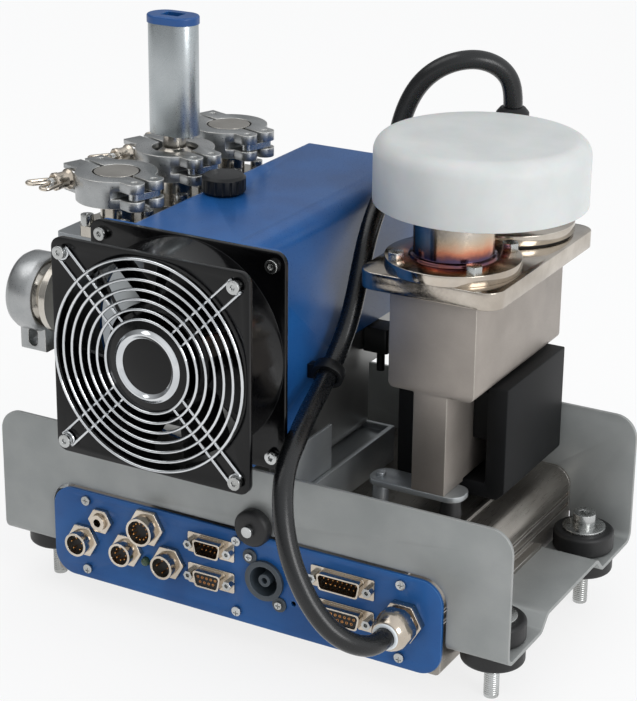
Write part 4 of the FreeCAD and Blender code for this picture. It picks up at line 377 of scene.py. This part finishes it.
# %% Polished and heat tinted steel
TUBE_RADIUS, RAGGED, TINT_START, TINT_END = 21.8, 5.0, 3.0, 20.0
tube_axis = spot(240.8, 87, 0)
seam_height = spot(0, 0, 187.7).z
finishes["polished_stainless"] = finish(
    "polished_stainless", "c9c1b6", "a89f94", 1.0, 0.15, grain=1.6, relief=0.0010, swing=0.05,
    edge_wear_and_highlight="f2ece4", edge_width=0.4)
tinted = finishes["polished_stainless"].copy()
tinted.name = "heat_tinted_stainless"
tree = tinted.node_tree
shader = tree.nodes["Principled BSDF"]
bare = shader.inputs["Base Color"].links[0].from_socket
position = add(tree, "ShaderNodeTexCoord").outputs["Object"]
parts = add(tree, "ShaderNodeSeparateXYZ", {"Vector": position})
flat = add(tree, "ShaderNodeCombineXYZ", {"X": parts.outputs["X"], "Y": parts.outputs["Y"]})
outward = add(tree, "ShaderNodeVectorMath", {
    0: flat.outputs["Vector"], 1: (tube_axis.x, tube_axis.y, 0)}, operation="DISTANCE")
from_wall = add(tree, "ShaderNodeMath", {
    0: outward.outputs["Value"], 1: TUBE_RADIUS * MM}, operation="SUBTRACT")
from_seam = add(tree, "ShaderNodeMath", {
    0: parts.outputs["Z"], 1: seam_height}, operation="SUBTRACT")
distance_from_weld = add(tree, "ShaderNodeMath", {
    0: from_wall.outputs["Value"], 1: from_seam.outputs["Value"]}, operation="MAXIMUM")
ragged = add(tree, "ShaderNodeTexNoise", {"Vector": position, "Scale": 120.0})
ragged_distance = add(tree, "ShaderNodeMath", {
    0: ragged.outputs["Fac"], 1: RAGGED * MM, 2: distance_from_weld.outputs["Value"]},
    operation="MULTIPLY_ADD")
# Weld tint and painted dark reflection together: the ramp darkens the flange near the tube.
heat = add(tree, "ShaderNodeMapRange", {
    "Value": ragged_distance.outputs["Value"],
    "From Min": TINT_START * MM, "From Max": TINT_END * MM})
ramp = add(tree, "ShaderNodeValToRGB", {"Fac": heat.outputs["Result"]})
tints = ((0.0, "55465c"), (0.12, "7d3f3c"), (0.26, "cc6a3c"),
         (0.42, "dd9a6c"), (0.68, "d3b48c"), (1.0, "c3bab0"))
ramp.color_ramp.elements[0].color = linear(tints[0][1])
ramp.color_ramp.elements[1].color = linear(tints[-1][1])
for place, tint in tints[1:-1]:
    ramp.color_ramp.elements.new(place).color = linear(tint)
whole = add(tree, "ShaderNodeMix", {
    "Factor": heat.outputs["Result"], "A": ramp.outputs["Color"], "B": bare}, data_type="RGBA")
tree.links.new(whole.outputs["Result"], shader.inputs["Base Color"])
finishes["heat_tint"] = tinted
print("tint centred on", tuple(round(value, 4) for value in tube_axis))

# %% [markdown]
# Each imported node takes the finish of its material slot. Their meshes stay
# as they are: only the material changes.

# %% Dress the imported nodes
slot_of = {part["node"]: part["material_slot"] for part in frame["record"]["subparts"]}
for name, node in nodes.items():
    node.data.materials.clear()
    node.data.materials.append(finishes[slot_of[name]])
print("dressed", len(nodes), "nodes in", len(set(slot_of.values())), "finishes")

# %% [markdown]
# Drawn edges are sharp, but no real edge is. A thin bright line of light runs
# along each edge of a casting, a folded sheet or a moulding, and its width
# tells the eye what made it. So the larger pieces are copied, their split
# triangles are merged into whole faces, and each edge is rounded by what the
# real process leaves: a tenth or two on a machined part, more on castings
# and mouldings. The cap's edges could be subdivided instead, but a bevel
# keeps the drawn size and stays inside it.

# %% Rounded edges
softened = {}


def select_only(piece):
    bpy.ops.object.select_all(action="DESELECT")
    piece.select_set(True)
    bpy.context.view_layer.objects.active = piece


def place_in_assembly(piece, body, slot):
    """Let a finished piece ride on its body, with its slot's finish."""
    piece.data.materials.clear()
    piece.data.materials.append(finishes[slot])
    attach(piece, body)


def soften(name, width, segments=2):
    """A copy of a node with merged faces and rounded edges, in place of the node."""
    piece = bpy.data.objects.new(name + "_soft", nodes[name].data.copy())
    bpy.context.scene.collection.objects.link(piece)
    select_only(piece)
    bpy.ops.object.mode_set(mode="EDIT")
    bpy.ops.mesh.select_all(action="SELECT")
    bpy.ops.mesh.remove_doubles(threshold=0.000005)
    bpy.ops.mesh.normals_make_consistent(inside=False)
    bpy.ops.mesh.dissolve_limited(angle_limit=math.radians(0.5))
    bpy.ops.object.mode_set(mode="OBJECT")
    bpy.ops.mesh.customdata_custom_splitnormals_clear()
    rounding = piece.modifiers.new("rounding", "BEVEL")
    rounding.width = width * MM
    rounding.segments = segments
    rounding.limit_method = "ANGLE"
    rounding.angle_limit = math.radians(35)
    rounding.miter_outer = "MITER_ARC"
    bpy.ops.object.modifier_apply(modifier=rounding.name)
    bpy.ops.object.shade_smooth_by_angle(angle=math.radians(30))
    place_in_assembly(piece, node_body[name], slot_of[name])
    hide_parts(name)
    softened[name] = piece
    return piece


edge_widths = {
    "base_tray": 0.5, "pump_cover": 0.5, "pump_base": 0.4, "side_plate": 0.4,
    "front_panel": 0.4, "electronics_housing": 0.5, "clamp_jaws": 0.9, "side_clamp": 1.0,
    "vacuum_block": 0.5, "magnet_yoke": 0.9, "pole_pieces": 0.4, "analyser_block": 0.6,
    "top_plate": 0.5, "second_flange": 0.4,
    "protective_cap": 0.8, "gauge_body": 0.4, "fan_frame": 0.5, "foot_bolts": 0.4,
    "vent_cap": 0.3, "sensor_connector": 0.4, "cable_clip": 0.5, "pump_plug": 0.6,
    "rubber_bumpers": 0.5, "cable_gland": 0.4, "socket_nuts": 0.3, "power_socket": 0.4,
    "vacuum_screws": 0.25, "fan_screws": 0.25, "shelf_plate": 0.3,
}
for name, width in edge_widths.items():
    soften(name, width)
# The source flange takes the tint, which is partly weld oxide and partly a painted dark
# reflection.
soften("source_flange", 0.4).data.materials[0] = finishes["heat_tint"]
face_count = sum(len(piece.data.polygons) for piece in softened.values())
print("rounded", len(softened), "pieces,", face_count, "faces")

# %% [markdown]
# The rest of the lesson models what the drawing leaves plain. Two helpers
# begin most pieces. The first starts a piece from a primitive and puts its
# place into its mesh. The second turns a short profile about an axis, as a
# lathe does: it grows the profile point by point out of one vertex and spins
# it.

# %% Helpers that begin a piece
def begin(name, primitive, **settings):
    """A new piece from a primitive, in edit mode, with its place in its mesh."""
    bpy.ops.object.select_all(action="DESELECT")
    primitive(**settings)
    piece = bpy.context.object
    piece.name = piece.data.name = name
    bpy.ops.object.transform_apply(location=True, rotation=True, scale=True)
    bpy.ops.object.mode_set(mode="EDIT")
    return piece


def close_up():
    """Join the seams of the mesh being edited and turn its faces outward."""
    bpy.ops.mesh.select_all(action="SELECT")
    bpy.ops.mesh.remove_doubles(threshold=0.000002)
    bpy.ops.mesh.normals_make_consistent(inside=False)


def done(piece, body, slot, angle=35):
    bpy.ops.object.mode_set(mode="OBJECT")
    bpy.ops.object.shade_smooth_by_angle(angle=math.radians(angle))
    place_in_assembly(piece, body, slot)
    return piece


def turn(name, profile, foot, axis, steps=24):
    """A turned piece. The profile is (radius, height) in millimetres from its foot."""
    side = Vector((1, 0, 0)) if abs(axis.x) < 0.1 else Vector((0, 0, 1))
    piece = begin(name, bpy.ops.mesh.primitive_plane_add, size=MM)
    bpy.ops.mesh.select_all(action="SELECT")
    bpy.ops.mesh.merge(type="CENTER")
    places = [foot + (side * radius + axis * height) * MM for radius, height in profile]
    bpy.ops.transform.translate(value=places[0])
    for last, following in zip(places, places[1:]):
        bpy.ops.mesh.extrude_region_move(TRANSFORM_OT_translate={"value": following - last})
    bpy.ops.mesh.select_all(action="SELECT")
    bpy.ops.mesh.spin(steps=steps, angle=2 * math.pi, center=foot, axis=axis)
    close_up()
    return piece


def repeat(moves):
    """Copy what is selected again and again, moved on by each move in millimetres."""
    for move in moves:
        bpy.ops.mesh.duplicate_move(TRANSFORM_OT_translate={"value": Vector(move) * MM})


# %% [markdown]
# The guard in front of the fan is bright chromed wire: seven rings, a raised
# ring on a dark disc in the middle, and at each corner a hairpin of wire that
# runs from the disc round the fixing screw and back. The rings could be
# curves with a round bevel. Here small circles are spun about the fan's axis,
# which makes every ring at once and leaves plain quads.

# %% Fan guard
FAN = spot(136.8, -50, 147.5)
WIRE, RING_COUNT, RING_STEP, OUTER_RING = 0.8, 7, 5.3, 57.0
SCREW_REACH = 104.8 / 2 * math.sqrt(2)
HAIRPIN_FOOT, HAIRPIN_HALF = 22.0, 4.0
RING_DEPTH, HAIRPIN_DEPTH = -2.4, -0.8

rings = begin("guard_rings", bpy.ops.mesh.primitive_circle_add, vertices=10,
              radius=WIRE * MM, location=FAN + Vector((OUTER_RING, RING_DEPTH, 0)) * MM)
bpy.ops.mesh.select_all(action="SELECT")
repeat([(-RING_STEP, 0, 0)] * (RING_COUNT - 1))
bpy.ops.mesh.select_all(action="SELECT")
bpy.ops.mesh.spin(steps=96, angle=2 * math.pi, center=FAN, axis=BACK)
close_up()
done(rings, "chassis", "guard_chrome")

hairpin_start = FAN + Vector((HAIRPIN_FOOT, HAIRPIN_DEPTH, HAIRPIN_HALF)) * MM
screw_centre = FAN + Vector((SCREW_REACH, 0, 0)) * MM
straight = Vector((SCREW_REACH - HAIRPIN_FOOT, 0, 0)) * MM
hairpins = begin("guard_hairpins", bpy.ops.mesh.primitive_circle_add, vertices=10,
                 radius=WIRE * MM, location=hairpin_start, rotation=(0, math.pi / 2, 0))
bpy.ops.mesh.select_all(action="SELECT")
bpy.ops.mesh.extrude_region_move(TRANSFORM_OT_translate={"value": straight})
bpy.ops.mesh.spin(steps=12, angle=math.pi, center=screw_centre, axis=BACK)
bpy.ops.mesh.extrude_region_move(TRANSFORM_OT_translate={"value": -straight})
bpy.ops.mesh.select_all(action="SELECT")
bpy.ops.transform.rotate(value=math.pi / 4, orient_axis="Y", center_override=FAN)
for quarter in range(3):
    bpy.ops.mesh.duplicate()
    bpy.ops.transform.rotate(value=math.pi / 2, orient_axis="Y", center_override=FAN)
close_up()
done(hairpins, "chassis", "guard_chrome")

disc = turn("guard_disc", [
    (0, 2.1), (24.6, 2.1), (25.2, 1.7), (25.2, 1.3), (24.6, 1.0), (0, 1.0)], FAN, FRONT, steps=72)
done(disc, "chassis", "guard_chrome").data.materials[0] = finishes["black_fan"]
raised = turn("guard_raised_ring", [
    (14.8, 2.0), (15.4, 2.3), (16.2, 3.2), (17.0, 3.8),
    (17.8, 3.8), (18.6, 3.2), (19.4, 2.3), (20.0, 2.0)], FAN, FRONT, steps=72)
done(raised, "chassis", "guard_chrome")
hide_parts("fan_guard")
print("guard faces", sum(len(piece.data.polygons) for piece in (rings, hairpins, disc, raised)))

# %% [markdown]
# The upper multi pin sockets carry gold flashed pins that stand free in two
# staggered rows, nine in the small shell and fifteen in the large one. A pin
# is turned with a rounded tip, then copied along each row at the standard
# pitch. The lower sockets are the other kind, with flush contact rings.

# %% Pins and contacts of the multi pin sockets
PITCH, ROW_HALF = 2.77, 1.42
PIN_FLOOR, CONTACT_FLOOR = -0.4, -7.4
pin_profile = [(0.5, -1.0), (0.5, 4.6), (0.42, 5.0), (0.22, 5.25), (0, 5.3)]
ring_profile = [(0.42, -0.6), (0.42, 0.06), (0.62, 0.16), (0.8, 0.06), (0.8, -0.6)]


def two_rows(name, profile, x, y, z, top_count):
    """One turned contact at the left of the upper row, copied along both rows."""
    left = x - PITCH * (top_count - 1) / 2
    piece = turn(name, profile, spot(left, y, z + ROW_HALF), FRONT, steps=12)
    repeat([(PITCH, 0, 0)] * (top_count - 1))
    repeat([(-PITCH / 2, 0, -2 * ROW_HALF)] + [(-PITCH, 0, 0)] * (top_count - 2))
    return done(piece, "chassis", "nickel")


pins = [
    two_rows("pins_small", pin_profile, 142.8, PIN_FLOOR, 26.0, top_count=5),
    two_rows("pins_large", pin_profile, 224.7, PIN_FLOOR, 25.9, top_count=8),
    two_rows("contacts_small", ring_profile, 142.8, CONTACT_FLOOR, 7.2, top_count=5),
    two_rows("contacts_large", ring_profile, 224.7, CONTACT_FLOOR, 7.1, top_count=8)]
for piece in pins:
    piece.data.materials[0] = finishes["contact_gold"]
print("pins and contacts", [len(piece.data.polygons) for piece in pins])

# %% [markdown]
# Each round socket has a black insert with a ring of small gold contacts. The
# contact is turned once and carried round the socket's axis. A key, a short
# rib on the barrel's wall, sets the way that a plug goes in.

# %% Contacts and keys of the round sockets
round_places = ((57.9, 9.4, 7.0, 5), (87.9, 10.6, 7.0, 8),
                (101.3, 27.9, 8.2, 12), (115.8, 10.1, 7.0, 4))
INSERT_FACE, WALL_TO_CONTACTS, WALL_TO_KEY = -8.0, 3.4, 1.9
for number, (x, z, barrel, count) in enumerate(round_places, start=1):
    centre = spot(x, INSERT_FACE, z)
    reach = barrel - WALL_TO_CONTACTS
    contact = turn(f"round_contacts_{number}", [(0.5, -0.5), (0.5, 2.2), (0.3, 2.6), (0, 2.7)],
                   centre + UP * reach * MM, FRONT, steps=10)
    bpy.ops.mesh.select_all(action="SELECT")
    for step in range(count - 1):
        bpy.ops.mesh.duplicate()
        bpy.ops.transform.rotate(value=2 * math.pi / count, orient_axis="Y",
                                 center_override=centre)
    done(contact, "chassis", "nickel").data.materials[0] = finishes["contact_gold"]
    key = begin(f"socket_key_{number}", bpy.ops.mesh.primitive_cube_add, size=MM,
                location=centre + Vector((0, -1.6, barrel - WALL_TO_KEY)) * MM,
                scale=(1.4, 2.8, 1.6))
    bpy.ops.mesh.select_all(action="SELECT")
    bpy.ops.mesh.bevel(offset=0.2 * MM, segments=2)
    done(key, "chassis", "nickel")
print("round sockets", len(round_places))

# %% [markdown]
# A bolt without a thread looks like a peg. The studs under the feet and the
# swing bolts of the clamps show their threads, so one ridge is wound up round
# each smooth shank. A real thread is cut below the shank's size. Here the
# ridge stands a little outside it, which looks the same and leaves the drawn
# shank alone.

# %% Threads
RIDGE_ROOT, RIDGE_HEIGHT, RIDGE_SHARE = 0.05, 0.27, 0.36


def thread(name, shank, pitch, turns, foot, axis, body, slot):
    """One ridge round a shank: a short profile, carried round and up by a modifier."""
    piece = begin(name, bpy.ops.mesh.primitive_plane_add, size=MM)
    bpy.ops.mesh.select_all(action="SELECT")
    bpy.ops.mesh.merge(type="CENTER")
    bpy.ops.transform.translate(value=Vector((shank - RIDGE_ROOT, 0, 0)) * MM)
    rise = pitch * RIDGE_SHARE
    for move in ((RIDGE_HEIGHT, 0, rise), (-RIDGE_HEIGHT, 0, rise)):
        bpy.ops.mesh.extrude_region_move(TRANSFORM_OT_translate={"value": Vector(move) * MM})
    bpy.ops.object.mode_set(mode="OBJECT")
    winding = piece.modifiers.new("winding", "SCREW")
    winding.screw_offset = pitch * MM
    winding.iterations = turns
    winding.steps = winding.render_steps = 20
    bpy.ops.object.modifier_apply(modifier=winding.name)
    standing = UP.rotation_difference(axis).to_matrix().to_4x4()
    piece.matrix_world = Matrix.Translation(foot) @ standing
    bpy.ops.object.transform_apply(location=True, rotation=True, scale=True)
    bpy.ops.object.shade_smooth_by_angle(angle=math.radians(50))
    place_in_assembly(piece, body, slot)
    return piece


stud_places = [(x, y) for x in (19.5, 300.5) for y in (25, 147)]
for number, (x, y) in enumerate(stud_places, start=1):
    thread(f"stud_thread_{number}", shank=4.0, pitch=1.25, turns=16,
           foot=spot(x, y, -32.4), axis=UP, body="chassis", slot="zinc_steel")

PORT_X, CLAMP_HEIGHT, CLAMP_TURN, BOLT_COLUMN = 68.6, 214.8, math.radians(-19), -25.0
clamp_depths = (22.3, 80.3, 138.3)
bolt_axis = Matrix.Rotation(CLAMP_TURN, 3, "Z") @ FRONT


def on_bolt(clamp_depth, reach):
    """A place on a clamp's swing bolt, this far in front of the clamp's middle."""
    sideways = Matrix.Rotation(CLAMP_TURN, 3, "Z") @ Vector((BOLT_COLUMN, -reach, 0))
    return spot(PORT_X + sideways.x, clamp_depth + sideways.y, CLAMP_HEIGHT)


for number, y in enumerate(clamp_depths, start=1):
    thread(f"swing_thread_{number}", shank=2.5, pitch=0.8, turns=3,
           foot=on_bolt(y, 24.6), axis=bolt_axis, body="chassis", slot="zinc_steel")
print("threads", len(stud_places) + len(clamp_depths))

# %% [markdown]
# A wing nut closes each clamp: a nickel plated barrel with a collar, and two
# long open loops that lean out past its end, so that fingers find them. The
# drawing has flat plates there. A loop could be a bent curve with a round
# bevel. Here a small ring is stretched: half of its points are selected by
# their place and moved out, which leaves a round bow at both ends. The second
# loop is a copy, turned half way round the bolt.

# %% Wing nuts
LOOP_RADIUS, LOOP_WIRE, LOOP_STRETCH, LOOP_LEAN = 3.0, 1.05, 8.4, math.radians(20)
LOOP_ASIDE, LOOP_AHEAD = 0.6, 1.2
BARREL_SEAT, BARREL_LENGTH = 13.3, 11.0


def wing_nut(node, clamp_depth):
    """A butterfly nut with two loops, on the bolt of the clamp at this depth."""
    foot = on_bolt(clamp_depth, BARREL_SEAT)
    barrel = turn(node + "_looped", [
        (2.6, 0), (5.5, 0), (5.9, 0.5), (5.9, 1.5), (4.9, 2.9), (4.6, 3.4),
        (4.6, 7.6), (5.0, 8.2), (5.0, 10.3), (4.3, BARREL_LENGTH), (2.6, BARREL_LENGTH),
        (2.6, 0)], foot, bolt_axis, steps=32)
    bpy.ops.object.mode_set(mode="OBJECT")
    loop = begin(node + "_loop", bpy.ops.mesh.primitive_torus_add,
                 major_radius=LOOP_RADIUS * MM, minor_radius=LOOP_WIRE * MM,
                 major_segments=28, minor_segments=10)
    bpy.ops.mesh.select_all(action="DESELECT")
    bpy.ops.object.mode_set(mode="OBJECT")
    for vertex in loop.data.vertices:
        vertex.select = vertex.co.y < -0.00001
    bpy.ops.object.mode_set(mode="EDIT")
    bpy.ops.transform.translate(value=(0, -LOOP_STRETCH * MM, 0))
    bpy.ops.object.mode_set(mode="OBJECT")
    tip = Vector((-LOOP_RADIUS - LOOP_ASIDE, -BARREL_LENGTH - LOOP_AHEAD, 0)) * MM
    lean = Matrix.Translation(tip) @ Matrix.Rotation(-LOOP_LEAN, 4, "Z")
    other = loop.copy()
    other.data = loop.data.copy()
    bpy.context.scene.collection.objects.link(other)
    at_bolt = Matrix.Translation(foot) @ Matrix.Rotation(CLAMP_TURN, 4, "Z")
    loop.matrix_world = at_bolt @ lean
    other.matrix_world = at_bolt @ Matrix.Rotation(math.pi, 4, "Y") @ lean
    select_only(loop)
    other.select_set(True)
    bpy.ops.object.transform_apply(location=True, rotation=True, scale=True)
    barrel.select_set(True)
    bpy.context.view_layer.objects.active = barrel
    bpy.ops.object.join()
    bpy.ops.object.mode_set(mode="EDIT")
    close_up()
    done(barrel, node_body[node], slot_of[node])
    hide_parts(node)
    return barrel


nuts = [wing_nut(node, depth) for node, depth in zip(
    ("wing_nut_front", "wing_nut_middle", "wing_nut_rear"), clamp_depths)]
print("wing nuts", len(nuts), "faces each", len(nuts[0].data.polygons))

# %% [markdown]
# The panel's screws have domed heads with a cross recess. The drawing's plain
# heads are copied and rounded, and a cross of two thin blades is cut out of
# each, as the punch does when the head is formed cold.

# %% Cross recesses
screws = soften("panel_screws", 0.5, segments=3)
recess_places = [(x, -3.8, z) for x in (59.8, 159.2, 259.3) for z in (-9.8, 33.8)]
recess_places += [(177.0 + side * 9.3, -4.64, 14.5 - side * 12.2) for side in (-1, 1)]
first_place = spot(*recess_places[0])
cutter = begin("cross_cutter", bpy.ops.mesh.primitive_cube_add, size=MM,
               location=first_place, scale=(0.65, 1.8, 3.2))
bpy.ops.mesh.select_all(action="SELECT")
bpy.ops.mesh.duplicate()
bpy.ops.transform.rotate(value=math.pi / 2, orient_axis="Y", center_override=first_place)
bpy.ops.mesh.select_all(action="SELECT")
repeat([tuple(b - a for a, b in zip(last, following))
        for last, following in zip(recess_places, recess_places[1:])])
bpy.ops.object.mode_set(mode="OBJECT")
select_only(screws)
cut = screws.modifiers.new("recess", "BOOLEAN")
cut.operation, cut.solver, cut.object, cut.use_self = "DIFFERENCE", "EXACT", cutter, True
bpy.ops.object.modifier_apply(modifier=cut.name)
bpy.data.objects.remove(cutter)
print("screw faces", len(screws.data.polygons))

# %% [markdown]
# A pale seal ring shows between the cable and the gland's nut. It is a turned
# ring that sits in the nut's mouth.

# %% Seal ring in the gland
seal = turn("gland_seal", [
    (5.45, -0.6), (7.3, -0.6), (7.3, 0.3), (6.9, 0.8), (6.1, 1.0), (5.5, 0.8), (5.45, -0.6)],
    spot(261.5, -23.5, 14.0), FRONT, steps=48)
done(seal, "chassis", "nickel").data.materials[0] = finishes["seal_white"]
print("seal faces", len(seal.data.polygons))

# %% [markdown]
# Two thin leads, one red and one blue, run from the fan's hub down to the
# frame's lower left corner, behind the guard. Each is a short bent wire: a
# circle extruded in steps and turned a little at each step.

# %% Fan leads
LEAD_RADIUS, LEAD_STEPS = 0.8, 8
for number, lead_name in enumerate(("lead_red", "lead_blue")):
    start = spot(111.5 + 3 * number, -17.4, 122.0 - 2 * number)
    lead = begin(lead_name, bpy.ops.mesh.primitive_circle_add, vertices=8,
                 radius=LEAD_RADIUS * MM, location=start, rotation=(0, math.radians(-140), 0))
    bpy.ops.mesh.select_all(action="SELECT")
    for step in range(LEAD_STEPS):
        move = Vector((-1.6 - 0.05 * step, 0, -1.7)) * MM
        bpy.ops.mesh.extrude_region_move(TRANSFORM_OT_translate={"value": move})
    close_up()
    done(lead, "chassis", "black_plastic").data.materials[0] = finishes[lead_name]
print("leads of", LEAD_STEPS, "steps each")

# %% [markdown]
# The photograph stands on plain white, with a soft, faint shadow. A pale
# floor runs out past the view, so the floor itself is the background. It is
# partly self lit where the camera, a mirror or clear plastic sees it, which
# keeps the shadow as faint as the photograph's. Light comes from a room that
# is brightest on the right and above and dim on the left, with two large soft
# panels. That gives the metals light and dark things to mirror.

# %% Floor, room and light
SELF_LIT = 0.78
BRIGHTEST = (0.80, -0.02, 0.60)
bpy.ops.object.select_all(action="DESELECT")
bpy.ops.mesh.primitive_plane_add(size=30)
floor = bpy.context.object
floor.name = "studio_floor"
white = bpy.data.materials.new("studio_white")
white.use_nodes = True
tree = white.node_tree
paper = tree.nodes["Principled BSDF"]
paper.inputs["Base Color"].default_value = linear("f6f6f6")
paper.inputs["Roughness"].default_value = 0.9
paper.inputs["Specular IOR Level"].default_value = 0.0
ray = add(tree, "ShaderNodeLightPath")
mirrored = add(tree, "ShaderNodeMath", {
    0: ray.outputs["Is Glossy Ray"], 1: ray.outputs["Is Transmission Ray"]}, operation="MAXIMUM")
looked_at = add(tree, "ShaderNodeMath", {
    0: ray.outputs["Is Camera Ray"], 1: mirrored.outputs["Value"]}, operation="MAXIMUM")
seen = add(tree, "ShaderNodeMath", {
    0: looked_at.outputs["Value"], 1: SELF_LIT}, operation="MULTIPLY")
plain = add(tree, "ShaderNodeEmission", {"Color": (1, 1, 1, 1), "Strength": 1.0})
blend = add(tree, "ShaderNodeMixShader", {
    "Fac": seen.outputs["Value"], 1: paper.outputs["BSDF"], 2: plain.outputs["Emission"]})
tree.links.new(blend.outputs["Shader"], tree.nodes["Material Output"].inputs["Surface"])
floor.data.materials.append(white)

room = bpy.data.worlds.new("bright_room")
room.use_nodes = True
tree = room.node_tree
direction = add(tree, "ShaderNodeTexCoord").outputs["Generated"]
towards_light = add(tree, "ShaderNodeVectorMath", {
    0: direction, 1: BRIGHTEST}, operation="DOT_PRODUCT")
strength = add(tree, "ShaderNodeMapRange", {
    "Value": towards_light.outputs["Value"],
    "From Min": -0.6, "From Max": 1.0, "To Min": 0.20, "To Max": 1.25})
room_light = tree.nodes["Background"]
room_light.inputs["Color"].default_value = linear("f4f6f8")
tree.links.new(strength.outputs["Result"], room_light.inputs["Strength"])
bpy.context.scene.world = room


def panel(name, place, aim, size, power):
    """A square soft light at a place, aimed at a point."""
    light = bpy.data.lights.new(name, "AREA")
    light.shape, light.size, light.energy = "SQUARE", size, power
    lamp = bpy.data.objects.new(name, light)
    bpy.context.scene.collection.objects.link(lamp)
    lamp.location = place
    lamp.rotation_euler = (Vector(aim) - Vector(place)).to_track_quat("-Z", "Y").to_euler()


panel("high_left", (-0.9, -0.5, 1.9), (0, 0, 0.1), 1.4, 8.0)
panel("front_right", (1.9, -0.8, 0.9), (0, 0, 0.15), 0.9, 13.0)
scene = bpy.context.scene
scene.view_settings.view_transform = "Standard"
